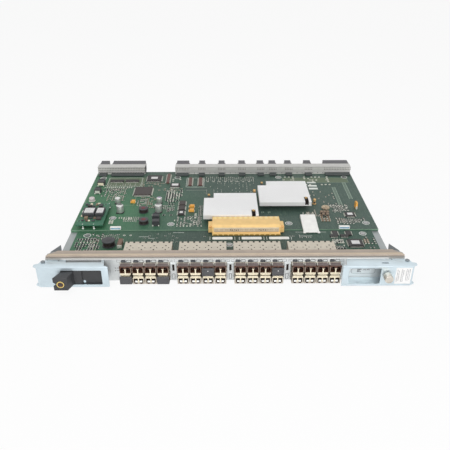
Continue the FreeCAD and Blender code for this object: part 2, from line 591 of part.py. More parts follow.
def power_slider():
    """Leaning hood over the captive screw, on a plate that runs behind the ejector's face."""
    body = new_body("power_slider")
    heights = ("hood_low", "hood_high")
    inside = ("hood_low + hood_wall", "hood_high - hood_wall")
    hood, neck, plate = [inward(LEFT, f"{span}_start", f"{span}_end")
                         for span in ("hood", "neck", "slider")]
    far = f"{hood[0]} - hood_wall"
    loft(body, "AdditiveLoft", [("-hood_front", rectangle(hood, heights)),
                                ("-hood_neck", rectangle(neck, heights))])
    pad(body, "XZ", ("-hood_neck", SLIDER_FRONT), [rectangle(neck, heights)])
    pad(body, "XZ", (SLIDER_FRONT, SLIDER_BACK), [rectangle(plate, ("slider_low", "slider_high"))])
    loft(body, "SubtractiveLoft", [
        ("-hood_front + hood_wall", rectangle((far, f"{hood[1]} - hood_wall"), inside)),
        ("-hood_neck", rectangle((far, f"{neck[1]} - hood_wall"), inside))])
    pocket(body, "XZ", ("-hood_neck", SLIDER_FRONT), [rectangle((far, f"{neck[1]} - hood_wall"), inside)])
    reach = "(left_screw_head + slot_outer_clear)"
    pocket(body, "XZ", (SLIDER_FRONT, f"{SLIDER_BACK} + {OVERRUN}"),
           [rectangle((far, f"{LEFT_SCREW} + {reach}"), (f"left_screw_z - {reach}", f"left_screw_z + {reach}"))])
    middle, edge = "(hood_low + hood_high) / 2", f"{hood[0]} - {OVERRUN}"
    pocket(body, "XZ", (f"-hood_front - {OVERRUN}", f"-hood_front + hood_wall + {OVERRUN}"),
           [[(edge, f"{middle} - hood_notch_half"), (f"{hood[0]} + hood_notch_depth", middle),
             (edge, f"{middle} + hood_notch_half")]])
    return node("power_slider", body)


def slider_ring():
    """Marker ring with a low hub in it, set on the hood's front."""
    x, inside = inward(LEFT, "ring_place")[0], "ring_radius - ring_width"
    ring = lying("ring_radius", x, "left_screw_z", ("-hood_front", "-hood_front - ring_proud"))
    well = lying(inside, x, "left_screw_z",
                 ("-hood_front - ring_hub_proud", f"-hood_front - ring_proud - {OVERRUN}"))
    return node("slider_ring", without(ring, [well]))


def thumbscrew(name, x, z, head, front, plate_front):
    """Captive screw: a grip of many flats with a smaller boss in front, and a shank through its plate."""
    back, boss = f"{plate_front} - thumb_gap", f"(-{front} + thumb_edge)"
    return node(name, fused([lying(head, x, z, (back, boss)),
                             lying(f"{head} - thumb_edge", x, z, (boss, f"-{front}")),
                             lying("thumb_shank", x, z, ("-thumb_tip", back))]))


# ---------------------------------------------------------------- boards and their fasteners
def boards():
    """The rear board on the tray's ledges, and the port board level with them between the cages."""
    node("main_board", box(("-tray_width / 2", "tray_width / 2"), ("main_board_front", "tray_back"),
                           ("main_board_level", BOARD_TOP)))
    half = "(tray_width / 2 - ledge_width - port_board_gap)"
    node("port_board", box((f"-{half}", half), ("panel_sheet + port_board_gap", "port_board_back"),
                           (PORT_UNDER, PORT_TOP)))


def fasteners():
    """Screw heads on the boards, each above a hexagonal post that stands on the tray's floor."""
    heads, posts = [], []
    for board, screws, under, top in (("main", MAIN_SCREWS, "main_board_level", BOARD_TOP),
                                      ("port", PORT_SCREWS, PORT_UNDER, PORT_TOP)):
        for screw, (edge, *_) in enumerate(screws):
            x, y = across(edge, f"{board}_screw_{screw}_x"), f"{board}_screw_{screw}_y"
            heads.append(upright("screw_head", x, y, (top, f"{top} + screw_head_height"), sides=8))
            posts.append(upright("post_radius", x, y, ("tray_sheet", under), sides=6))
    node("board_screws", group(heads))
    node("board_posts", group(posts))


# ---------------------------------------------------------------- ports
def cage_master():
    """Four-bay cage above the plane between the rows, with a perforated top and a notched rear edge."""
    body = new_body("cage_master")
    half, base = "(2 * port_pitch + cage_wall / 2)", "(port_board_thick / 2)"
    pad(body, "XZ", ("-cage_proud", "cage_back"), [rectangle((f"-{half}", half), (base, CAGE_TOP))])
    left = f"(-{half} + cage_wall)"
    bay = pocket(body, "XZ", (f"-cage_proud - {OVERRUN}", "cage_back - cage_wall"),
                 [rectangle((left, f"{left} + port_pitch - cage_wall"),
                            (f"{base} + cage_floor", f"{CAGE_TOP} - cage_wall"))])
    middle = "(-1.5 * port_pitch)"
    vents = [rectangle((f"{middle} - vent_width / 2", f"{middle} + vent_width / 2"),
                       ("vent_place - vent_width / 2", "vent_place + vent_width / 2"))]
    for offset in ("-port_pitch / 4", "port_pitch / 4"):
        x = f"({middle} + {offset})"
        vents.append(rectangle((f"{x} - cage_notch_width / 2", f"{x} + cage_notch_width / 2"),
                               ("cage_back - cage_notch_depth", f"cage_back + {OVERRUN}")))
    holes = pocket(body, "XY", (f"{CAGE_TOP} - 2 * cage_wall", f"{CAGE_TOP} + {OVERRUN}"), vents)
    repeat(body, [bay], "H_Axis", "port_pitch", len(COLUMNS))
    repeat(body, [holes], "H_Axis", "port_pitch", len(COLUMNS))
    return body


def pair_of_squares(size):
    """One square in the middle of each of a transceiver's two sockets."""
    z, half = "(socket_low + socket_height / 2)", f"{size} / 2"
    return [rectangle((f"{side} * socket_pitch / 2 - {half}", f"{side} * socket_pitch / 2 + {half}"),
                      (f"{z} - {half}", f"{z} + {half}")) for side in (LEFT, RIGHT)]


def transceiver_master():
    """Pluggable transceiver: nose with two keyed sockets and ferrule sleeves, and its bail below."""
    body = new_body("transceiver_master")
    nose_half, top = "(nose_width / 2)", "(nose_low + nose_height)"
    pad(body, "XZ", ("-nose_proud", "-cage_proud"),
        [rectangle((f"-{nose_half}", nose_half), ("nose_low", top))])
    pad(body, "XZ", ("-cage_proud", "transceiver_back"),
        [rectangle((f"-{nose_half}", nose_half), ("inner_low", "inner_low + inner_height"))])
    sockets = []
    for side in (LEFT, RIGHT):
        x = f"({side} * socket_pitch / 2)"
        shelf, roof = "(socket_low + socket_height)", "(socket_low + socket_height + keyway_height)"
        sockets.append([(f"{x} - socket_width / 2", "socket_low"),
                        (f"{x} + socket_width / 2", "socket_low"),
                        (f"{x} + socket_width / 2", shelf), (f"{x} + keyway_width / 2", shelf),
                        (f"{x} + keyway_width / 2", roof), (f"{x} - keyway_width / 2", roof),
                        (f"{x} - keyway_width / 2", shelf), (f"{x} - socket_width / 2", shelf)])
    pocket(body, "XZ", (f"-nose_proud - {OVERRUN}", "-nose_proud + socket_depth"), sockets)
    sleeves = pair_of_squares("sleeve_size")
    pad(body, "XZ", ("-nose_proud + sleeve_recess", "-nose_proud + socket_depth"), sleeves)
    pad(body, "YZ", ("-bail_width / 2", "bail_width / 2"),
        [[("-nose_proud", "nose_low"), ("-nose_proud + bail_drop / 2", "nose_low - bail_drop"),
          ("-nose_proud + bail_depth", "nose_low - bail_drop"),
          ("-nose_proud + bail_depth", "nose_low - bail_drop + bail_bar"),
          ("-nose_proud + bail_depth / 2", "nose_low")]])
    return body


def plug_master():
    """Dust plug: a rounded block with two hollow prongs that pass round the ferrule sleeves."""
    body = new_body("plug_master")
    front = "(-nose_proud - plug_gap - plug_depth)"
    pad(body, "XZ", (front, "-nose_proud - plug_gap"),
        [rectangle(("-plug_width / 2", "plug_width / 2"), ("plug_low", "plug_low + plug_height"))])
    rounded(body, "plug_edge", lambda way, place: near(place.y, number(front)), "Chamfer")
    pad(body, "XZ", ("-nose_proud - plug_gap", "-nose_proud + prong_depth"),
        pair_of_squares("prong_width"))
    pocket(body, "XZ", ("-nose_proud", f"-nose_proud + prong_depth + {OVERRUN}"),
           pair_of_squares("prong_bore"))
    return body


def column_x(index, column):
    return f"(group_middle + ({index} - 1.5) * group_pitch + ({column} - 1.5) * port_pitch)"


def ports():
    """Cages, transceivers and dust plugs, belly to belly about the port board."""
    cage, transceiver, plug = cage_master(), transceiver_master(), plug_master()
    for index in GROUPS:
        x = f"group_middle + ({index} - 1.5) * group_pitch"
        node(f"port_cages_{index + 1}", group([copy_of(cage, x), copy_of(cage, x, turned=True)]))
        for row, turned in (("upper", False), ("lower", True)):
            node(f"transceivers_{row}_{index + 1}",
                 group([copy_of(transceiver, column_x(index, column), turned) for column in COLUMNS]))
    for name, index, column, turned in (("lower_1", 0, 0, True), ("lower_4", 0, 3, True),
                                        ("upper_7", 1, 2, False), ("upper_12", 2, 3, False)):
        node(f"dust_plug_{name}", group([copy_of(plug, column_x(index, column), turned)]))


def led_lenses():
    """Two light-pipe ends above every port column, flush in the faceplate's windows."""
    lenses = []
    for index in GROUPS:
        for column in COLUMNS:
            for offset in ("led_dark_offset", "led_light_offset"):
                x = f"({column_x(index, column)} + {offset})"
                lenses.append(box((f"{x} - led_width / 2", f"{x} + led_width / 2"),
                                  ("-led_proud", "led_depth"), ("led_sill", "led_sill + led_height")))
    return node("led_lenses", group(lenses))


def group_separators():
    """Raised bars between the port groups, each with a slot above and a shallow pocket below."""
    body = new_body("group_separators")
    middle = "(group_middle - group_pitch)"
    half, slot, well = "separator_width / 2", "separator_slot_width / 2", "separator_pocket_width / 2"
    bar = pad(body, "XZ", ("-separator_proud", 0),
              [rectangle((f"{middle} - {half}", f"{middle} + {half}"), ("separator_foot", "separator_head"))])
    front = f"-separator_proud - {OVERRUN}"
    upper = pocket(body, "XZ", (front, OVERRUN),
                   [rectangle((f"{middle} - {slot}", f"{middle} + {slot}"),
                              ("separator_slot_low", "separator_slot_low + separator_slot_height"))])
    lower = pocket(body, "XZ", (front, "-separator_proud + separator_pocket_depth"),
                   [rectangle((f"{middle} - {well}", f"{middle} + {well}"),
                              ("separator_pocket_low", "separator_pocket_low + separator_pocket_height"))])
    repeat(body, [bar, upper, lower], "H_Axis", "group_pitch", len(GROUPS) - 1)
    return node("group_separators", body)


# ---------------------------------------------------------------- connectors
def run_along(edge, name):
    """The two ends, lower x first, of a run measured in from the tray's left or right edge."""
    ends = [across(edge, f"{name}_outer"), across(edge, f"{name}_inner")]
    return ends if edge == "left" else ends[::-1]


def backplane_block(edge):
    """One run of rear connectors: bent stiffener, grey shell, black modules and their solder feet."""
    start, end = run_along(edge, f"{edge}_block")
    stiffener = new_body(f"{edge}_stiffener")
    wall_back, fold = "stiffener_wall + stiffener_sheet", "stiffener_top - stiffener_sheet"
    pad(stiffener, "YZ", (start, end),
        [[("stiffener_wall", BOARD_TOP), (wall_back, BOARD_TOP), (wall_back, fold),
          ("stiffener_back", fold), ("stiffener_back", "stiffener_top"),
          ("stiffener_wall", "stiffener_top")]])
    node(f"{edge}_stiffener", stiffener)
    shell = new_body("Shell")
    pad(shell, "YZ", (f"{start} + shell_inset", f"{end} - shell_inset"),
        [rectangle((wall_back, "shell_back"), (BOARD_TOP, "shell_top"))])
    over = "(stiffener_back + feet_gap)"
    blacks, feet = [], []
    for module in range(len(MODULES[edge])):
        ends = run_along(edge, f"{edge}_module_{module}")
        body = new_body("Module")
        pad(body, "YZ", ends,
            [[(over, "shell_top"), ("shell_back", "shell_top"), ("shell_back", BOARD_TOP),
              ("module_back", BOARD_TOP), ("module_back", "module_top"), (over, "module_top")]])
        blacks.append(body)
        feet.append(box(ends, ("feet_front", "stiffener_wall - feet_gap"), (BOARD_TOP, "feet_top")))
    return [shell], blacks, feet


def backplane_connectors():
    for label, here, there in zip(("backplane_shells", "backplane_modules", "connector_feet"),
                                  backplane_block("left"), backplane_block("right")):
        node(label, group(here + there))


def bridge_connector():
    """Connector that straddles the joint between the boards, crenellated along its rear top edge."""
    body = new_body("bridge_connector")
    pad(body, "YZ", ("bridge_start", "bridge_end"),
        [[("bridge_front", PORT_TOP), ("port_board_back", PORT_TOP), ("port_board_back", BOARD_TOP),
          ("bridge_back", BOARD_TOP), ("bridge_back", "bridge_top"),
          ("bridge_front + bridge_slope + bridge_lip", "bridge_top"),
          ("bridge_front + bridge_lip", "contact_face_high"),
          ("bridge_front + bridge_lip", "bridge_lip_top"), ("bridge_front", "bridge_lip_top")]])
    pad(body, "XY", (BOARD_TOP, "bridge_ear_top"),
        [rectangle(("bridge_start - bridge_ear", "bridge_end + bridge_ear"),
                   ("bridge_ear_front", "bridge_ear_back"))])
    first = "(bridge_start + bridge_pitch / 2)"
    slot = pocket(body, "XY", ("bridge_top - bridge_slot_high", f"bridge_top + {OVERRUN}"),
                  [rectangle((f"{first} - bridge_slot_width / 2", f"{first} + bridge_slot_width / 2"),
                             ("bridge_back - bridge_slot_depth", f"bridge_back + {OVERRUN}"))])
    count = int(number("(bridge_end - bridge_start) / bridge_pitch"))
    repeat(body, [slot], "H_Axis", "bridge_pitch", count)
    node("bridge_connector", body)
    face = new_body("bridge_contacts")
    back = "(bridge_front + bridge_lip)"
    pad(face, "XZ", (f"{back} - contact_face_proud", back),
        [rectangle(("bridge_start + bridge_lip", "bridge_end - bridge_lip"),
                   ("contact_face_low", "contact_face_high"))])
    return node("bridge_contacts", face)


# ---------------------------------------------------------------- heat sinks and large parts
def heat_sink(name):
    """Milled sink on a pedestal: fins along X, a notch at its rear left and a pin slot at its front right."""
    body = new_body(f"{name}_heat_sink")
    left, front = f"{name}_sink_x", f"{name}_sink_y"
    right, back = f"({left} + {name}_sink_width)", f"({front} + {name}_sink_depth)"
    pad(body, "XY", ("sink_base", "sink_top"),
        [[(left, front), (right, front), (right, back), (f"{left} + sink_notch", back),
          (f"{left} + sink_notch", f"{back} - sink_notch"), (left, f"{back} - sink_notch")]])
    middle = (f"({left} + {name}_sink_width / 2)", f"({front} + {name}_sink_depth / 2)")
    pad(body, "XY", (f"{BOARD_TOP} + chip_thick", "sink_base"),
        [rectangle(*[(f"{place} - pedestal_size / 2", f"{place} + pedestal_size / 2") for place in middle])])
    groove = pocket(body, "XY", ("sink_base + sink_base_thick", f"sink_top + {OVERRUN}"),
                    [rectangle((f"{left} - {OVERRUN}", f"{right} + {OVERRUN}"),
                               (f"{front} + fin_pitch - fin_gap", f"{front} + fin_pitch"))])
    count = int(number(f"{name}_sink_depth / fin_pitch"))
    repeat(body, [groove], "V_Axis", "fin_pitch", count)
    slot_x, slot_y = f"({right} - sink_slot_from_side)", f"({front} + sink_slot_from_front)"
    pocket(body, "XY", (f"sink_base - {OVERRUN}", f"sink_top + {OVERRUN}"),
           [rectangle((f"{slot_x} - sink_slot_width / 2", f"{slot_x} + sink_slot_width / 2"),
                      (f"{slot_y} - sink_slot_long / 2", f"{slot_y} + sink_slot_long / 2"))])
    pocket(body, "XY", ("sink_base + sink_base_thick", f"sink_top + {OVERRUN}"),
           [rectangle((f"{slot_x} - sink_slot_width / 2", f"{slot_x} + sink_slot_width / 2"),
                      (f"{front} - {OVERRUN}", slot_y))])
    node(f"{name}_heat_sink", body)
    chip = box(*[(f"{place} - chip_size / 2", f"{place} + chip_size / 2") for place in middle],
               (BOARD_TOP, f"{BOARD_TOP} + chip_thick"))
    notch = (f"({left} + sink_notch / 2)", f"({back} - sink_notch / 2)")
    anchor = (f"({right} + {name}_anchor_out)", f"({front} + {name}_anchor_back)")
    return chip, [notch, (slot_x, slot_y), anchor]


def cooling():
    """Both sinks, the switch chips under them and the pins that hold them down."""
    chips, places = [], []
    for name in ("front", "rear"):
        chip, pins = heat_sink(name)
        chips.append(chip)
        places += pins
    node("switch_chips", group(chips))
    node("heat_sink_pins", group([fused([
        upright("sink_pin", x, y, (BOARD_TOP, "sink_pin_top - sink_pin_head_height"), sides=6),
        upright("sink_pin_head", x, y, ("sink_pin_top - sink_pin_head_height", "sink_pin_top"), sides=8)])
        for x, y in places]))


def power_converter():
    """Converter module: a small board on pins, with its ferrite core through it."""
    x, y = across("left", "converter_x"), "converter_y"
    node("converter_board", box((f"{x} - converter_width / 2", f"{x} + converter_width / 2"),
                                (f"{y} - converter_depth / 2", f"{y} + converter_depth / 2"),
                                ("converter_level", "converter_level + converter_thick")))
    body = new_body("converter_core")
    top = "(converter_level + converter_thick)"
    pad(body, "XY", (top, "core_top"),
        [rectangle((f"{x} - core_width / 2", f"{x} + core_width / 2"),
                   (f"{y} - core_depth / 2", f"{y} + core_depth / 2"))])
    for side in (LEFT, RIGHT):
        edge = f"({y} + {side} * core_depth / 2)"
        pocket(body, "XY", (f"{top} - {OVERRUN}", f"core_top + {OVERRUN}"),
               [[(f"{x} - core_waist / 2", edge), (x, f"{edge} - {side} * core_waist / 2"),
                 (f"{x} + core_waist / 2", edge)]])
    node("converter_core", body)
    pins = [upright("converter_pin", f"{x} + {along} * (converter_width / 2 - converter_pin_inset)",
                    f"{y} + {side} * (converter_depth / 2 - converter_pin_inset)",
                    (BOARD_TOP, "converter_level"), sides=4)
            for along in (LEFT, 0, RIGHT) for side in (LEFT, RIGHT)]
    node("converter_pins", group(pins))


def control_processor():
    """Square flat package with its lead frame round it."""
    body = new_body("control_processor")
    half, leads = "processor_size / 2", f"{BOARD_TOP} + processor_lead_thick"
    edges = [(f"{place} - {half}", f"{place} + {half}")
             for place in (across("left", "processor_x"), "processor_y")]
    pad(body, "XY", (BOARD_TOP, leads), [rectangle(*edges)])
    pad(body, "XY", (leads, f"{BOARD_TOP} + processor_high"),
        [rectangle(*[(f"{low} + processor_lead", f"{high} - processor_lead") for low, high in edges])])
    return node("control_processor", body)


def on_board(part, edge, level):
    """A rectangular part standing on a board."""
    x = across(edge, f"{part}_x")
    return box((f"{x} - {part}_long / 2", f"{x} + {part}_long / 2"),
               (f"{part}_y - {part}_deep / 2", f"{part}_y + {part}_deep / 2"),
               (level, f"{level} + {part}_high"))


def can(part, edge, level):
    """A round part standing on a board."""
    return upright(f"{part}_radius", across(edge, f"{part}_x"), f"{part}_y",
                   (level, f"{level} + {part}_high"))


def small_parts():
    """Chips, capacitors, coils and relays, like pieces grouped in one sub-part each."""
    solids = {}
    for table, shape, level in ((BLOCKS, on_board, BOARD_TOP), (PORT_BLOCKS, on_board, PORT_TOP),
                                (ROUNDS, can, BOARD_TOP), (PORT_ROUNDS, can, PORT_TOP)):
        solids.update({part: shape(part, edge, level) for part, (edge, *_) in table.items()})
    kinds = {
        "logic_chips": ("memory", "flash", "buffer", "driver", "clock", "management", "sense"),
        "relays": ("relay", "fuse", "filter"),
        "tantalum_capacitors": ("tantalum",),
        "can_capacitors": ("can_",),
        "power_coils": ("coil",),
        "oscillator": ("oscillator",),
    }
    for label, starts in kinds.items():
        node(label, group([solid for part, solid in solids.items() if part.startswith(starts)]))


def jumper_cover():
    """Flat moulded cover over the wires between the boards, stepped to sit on both."""
    body = new_body("jumper_cover")
    half = "cover_width / 2"
    pad(body, "YZ", (f"cover_x - {half}", f"cover_x + {half}"),
        [[("cover_front", PORT_TOP), ("port_board_back", PORT_TOP), ("port_board_back", BOARD_TOP),
          ("cover_back", BOARD_TOP), ("cover_back", "cover_top"), ("cover_front", "cover_top")]])
    pocket(body, "XY", (f"{PORT_TOP} - {OVERRUN}", "cover_top - cover_wall"),
           [rectangle((f"cover_x - {half} + cover_wall", f"cover_x + {half} - cover_wall"),
                      ("cover_front + cover_wall", "cover_back - cover_wall"))])
    return node("jumper_cover", body)


def board_clips():
    """Small two-legged connectors beside the joint between the boards."""
    clips = []
    for x in (across("left", "left_clip_x"), across("right", "right_clip_x")):
        top = f"({BOARD_TOP} + clip_height)"
        block = box((f"{x} - clip_width / 2", f"{x} + clip_width / 2"), ("clip_front", "clip_back"),
                    (BOARD_TOP, top))
        slot = box((f"{x} - clip_slot / 2", f"{x} + clip_slot / 2"),
                   (f"clip_front - {OVERRUN}", "clip_front + clip_slot_depth"),
                   (f"{BOARD_TOP} + clip_sole", f"{top} + {OVERRUN}"))
        clips.append(without(block, [slot]))
    return node("board_clips", group(clips))


def build():
    carrier_tray()
    faceplate()
    emi_gasket()
    for side, word in ((LEFT, "left"), (RIGHT, "right")):
        pivot_bracket(side, f"pivot_bracket_{word}")
        end_bracket(side, f"end_bracket_{word}")
        ejector(side, f"ejector_{word}")
    pivot_pins()
    slider_track()
    power_slider()
    slider_ring()
    thumbscrew("thumbscrew_left", LEFT_SCREW, "left_screw_z", "left_screw_head",
               "left_screw_front", TRACK_FRONT)
    thumbscrew("thumbscrew_right", RIGHT_SCREW, "right_screw_z", "right_screw_head",
               "right_screw_front", "-ejector_front")
    boards()
    fasteners()
    ports()
    led_lenses()
    group_separators()
    backplane_connectors()
    bridge_connector()
    cooling()
    power_converter()
    control_processor()
    small_parts()
    jumper_cover()
    board_clips()


def check_and_write():
    """Stop on any failed object or bad shape, then write one file for each sub-part."""
    DOC.recompute()
    failed = [item.Label for item in DOC.Objects if {"Invalid", "Error"} & set(item.State)]
    if failed:
        raise RuntimeError(f"failed objects: {failed}")
    for label, item in NODES.items():
        if item.Shape.isNull() or not item.Shape.isValid() or not item.Shape.Solids:
            raise RuntimeError(f"bad shape: {label}")
    os.makedirs("parts", exist_ok=True)
    for label, item in NODES.items():
        item.Shape.exportStep(os.path.join("parts", f"{label}.step"))
        print(f"{label}: {len(item.Shape.Solids)} solids, {item.Shape.Volume:.1f} mm3")


build()
check_and_write()
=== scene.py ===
"""Finish of the switch line card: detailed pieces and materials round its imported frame. Metres."""
import bmesh
import bpy
import math
import random
from mathutils import Euler, Matrix, Vector


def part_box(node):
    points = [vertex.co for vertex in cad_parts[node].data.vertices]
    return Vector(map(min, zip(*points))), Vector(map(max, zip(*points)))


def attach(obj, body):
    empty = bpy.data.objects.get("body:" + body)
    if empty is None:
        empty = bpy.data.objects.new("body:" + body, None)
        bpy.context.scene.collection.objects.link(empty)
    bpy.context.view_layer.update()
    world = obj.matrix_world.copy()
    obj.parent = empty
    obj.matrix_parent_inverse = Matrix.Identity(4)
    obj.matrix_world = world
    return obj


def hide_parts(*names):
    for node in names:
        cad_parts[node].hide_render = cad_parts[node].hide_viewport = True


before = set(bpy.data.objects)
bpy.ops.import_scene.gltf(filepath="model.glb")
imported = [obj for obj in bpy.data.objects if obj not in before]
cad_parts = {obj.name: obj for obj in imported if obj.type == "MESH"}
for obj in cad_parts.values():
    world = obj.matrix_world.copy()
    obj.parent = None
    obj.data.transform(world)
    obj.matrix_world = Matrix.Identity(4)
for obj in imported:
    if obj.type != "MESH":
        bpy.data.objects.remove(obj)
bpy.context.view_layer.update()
MM = 0.001
UP, DOWN, FRONT, BACK = (0, 0, 1), (0, 0, -1), (0, -1, 0), (0, 1, 0)
random.seed(7)

# ------------------------------------------------------------------ levels and places, millimetres
MAIN_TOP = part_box("main_board")[1].z / MM
PORT_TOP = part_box("port_board")[1].z / MM
ROW_MIDDLE = (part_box("port_board")[0].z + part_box("port_board")[1].z) / 2 / MM
CAGE_WALL = 0.4
PORT_PITCH = ((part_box("port_cages_1")[1].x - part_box("port_cages_1")[0].x) / MM - CAGE_WALL) / 4
GROUPS = (1, 2, 3, 4)
DUST_PLUGS = ("dust_plug_lower_1", "dust_plug_lower_4", "dust_plug_upper_7", "dust_plug_upper_12")
GROUP_XS = [(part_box(f"port_cages_{index}")[0].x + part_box(f"port_cages_{index}")[1].x) / 2 / MM
            for index in GROUPS]
BETWEEN_GROUPS = [(one + other) / 2 for one, other in zip(GROUP_XS, GROUP_XS[1:])]
COLUMN_OFFSETS = [(column - 1.5) * PORT_PITCH for column in range(4)]


# ------------------------------------------------------------------ materials
def wired(tree, kind, inputs=None, **settings):
    """A new node with its settings; each input takes a value or another node's output."""
    made = tree.nodes.new(f"ShaderNode{kind}")
    for name, value in settings.items():
        setattr(made, name, value)
    for socket, value in (inputs or {}).items():
        if isinstance(value, bpy.types.NodeSocket):
            tree.links.new(value, made.inputs[socket])
        else:
            made.inputs[socket].default_value = value
    return made.outputs


class Finish:
    """A material's node tree with short calls for the nodes that the finishes share."""

    def __init__(self, name, colour, roughness=0.5, metallic=0.0, **sockets):
        self.material = bpy.data.materials.new(name)
        self.material.use_nodes = True
        self.tree = self.material.node_tree
        self.shader = self.tree.nodes["Principled BSDF"]
        self.place = wired(self.tree, "TexCoord")["Object"]
        self.colour = colour
        values = {"Base Color": (*colour, 1), "Roughness": roughness, "Metallic": metallic, **sockets}
        for socket, value in values.items():
            self.shader.inputs[socket.replace("_", " ")].default_value = value

    def feed(self, value, socket):
        """Take one of the shader's inputs from a node."""
        self.tree.links.new(value, self.shader.inputs[socket])
        return self

    def scaled(self, x, y, z):
        """The place in object space, each axis drawn out or drawn in."""
        return wired(self.tree, "Mapping", {"Scale": (x, y, z), "Vector": self.place})["Vector"]

    def noise(self, scale, detail=3, place=None):
        """Noise whose grain is about 1/scale metres."""
        place = place or self.place
        return wired(self.tree, "TexNoise", {"Scale": scale, "Detail": detail, "Vector": place})["Fac"]

    def cells(self, scale):
        """Distance from the middle of the nearest cell."""
        return wired(self.tree, "TexVoronoi", {"Scale": scale, "Vector": self.place})["Distance"]

    def waves(self, scale, direction):
        """Even bands along one axis."""
        inputs = {"Scale": scale, "Vector": self.place}
        return wired(self.tree, "TexWave", inputs, bands_direction=direction)["Fac"]

    def axis(self, name):
        """The place along one axis, metres."""
        return wired(self.tree, "SeparateXYZ", {"Vector": self.place})[name]

    def ramp(self, value, stops):
        """Colours read off a value between stops."""
        made = self.tree.nodes.new("ShaderNodeValToRGB")
        while len(made.color_ramp.elements) < len(stops):
            made.color_ramp.elements.new(0.5)
        for element, (at, colour) in zip(made.color_ramp.elements, stops):
            element.position, element.color = at, (*colour, 1)
        self.tree.links.new(value, made.inputs["Fac"])
        return made.outputs["Color"]

    def math(self, kind, first, second=0.0, clamp=False):
        """One sum; each term is a number or another node's value."""
        return wired(self.tree, "Math", {0: first, 1: second}, operation=kind, use_clamp=clamp)["Value"]

    def mixed(self, share, first, second):
        """Two colours blended by a share; inputs 6 and 7 and output 2 are the node's colour sockets."""
        first, second = ((*colour, 1) if isinstance(colour, tuple) else colour for colour in (first, second))
        return wired(self.tree, "Mix", {0: share, 6: first, 7: second}, data_type="RGBA")[2]

    def paint(self, colour):
        """Take the base colour from a node."""
        return self.feed(colour, "Base Color")

    def spread(self, value, start=(0, 1), end=(0, 1)):
        """A value taken from one range to another."""
        ends = {"From Min": start[0], "From Max": start[1], "To Min": end[0], "To Max": end[1]}
        return wired(self.tree, "MapRange", {"Value": value, **ends})["Result"]

    def rough(self, value, low, high):
        """Roughness between two limits by a value."""
        return self.feed(self.spread(value, end=(low, high)), "Roughness")

    def bump(self, height, depth, strength=0.5):
        """Relief of the given depth in millimetres."""
        inputs = {"Distance": depth * MM, "Strength": strength, "Height": height}
        return self.feed(wired(self.tree, "Bump", inputs)["Normal"], "Normal")

    def shade(self, spread, scale):
        """The finish's own colour, a little lighter and darker from place to place."""
        return self.paint(self.ramp(self.noise(scale), [(0.3, tinted(self.colour, 1 - spread)),
                                                        (0.7, tinted(self.colour, 1 + spread))]))


def srgb(red, green, blue):
    """A colour given on the 0 to 255 scale, as linear light."""
    return tuple((part / 255 / 12.92) if part <= 10 else ((part / 255 + 0.055) / 1.055) ** 2.4
                 for part in (red, green, blue))


def tinted(colour, share):
    """A colour made lighter or darker, never past full."""
    return tuple(min(part * share, 1) for part in colour)


def brushed_metal(name, colour, roughness=0.35, along="X", metallic=0.85, grain=0.02):
    """Sheet metal with fine streaks along one axis and a faint mottle."""
    finish = Finish(name, colour, roughness, metallic)
    stretch = {"X": (60, 2600, 2600), "Y": (2600, 60, 2600), "Z": (2600, 2600, 60)}[along]
    streaks = finish.noise(1, 4, finish.scaled(*stretch))
    mottle = finish.noise(140, 4)
    dark, light = tinted(colour, 0.93), tinted(colour, 1.05)
    finish.paint(finish.mixed(0.35, finish.ramp(mottle, [(0.35, dark), (0.65, light)]),
                              finish.ramp(streaks, [(0.3, dark), (0.7, light)])))
    finish.rough(streaks, roughness - 0.06, roughness + 0.1)
    return finish.bump(streaks, grain, 0.4).material


def moulded_plastic(name, colour, roughness=0.45, grain=0.03):
    """Plastic with a fine moulded grain and a slight unevenness of colour."""
    finish = Finish(name, colour, roughness)
    fine = finish.noise(2600, 2)
    finish.shade(0.06, 120)
    finish.rough(finish.noise(300), roughness - 0.05, roughness + 0.08)
    return finish.bump(fine, grain, 0.35).material


def zinc_plate(name, colour):
    """Blue-bright zinc on steel: soft cloudy patches and fine rolling marks."""
    finish = Finish(name, colour, 0.36, 0.75)
    cloud = finish.noise(55, 5)
    finish.paint(finish.ramp(cloud, [(0.3, tinted(colour, 0.94)), (0.7, tinted(colour, 1.04))]))
    finish.rough(cloud, 0.28, 0.46)
    return finish.bump(finish.noise(1, 3, finish.scaled(80, 2200, 2200)), 0.02, 0.35).material


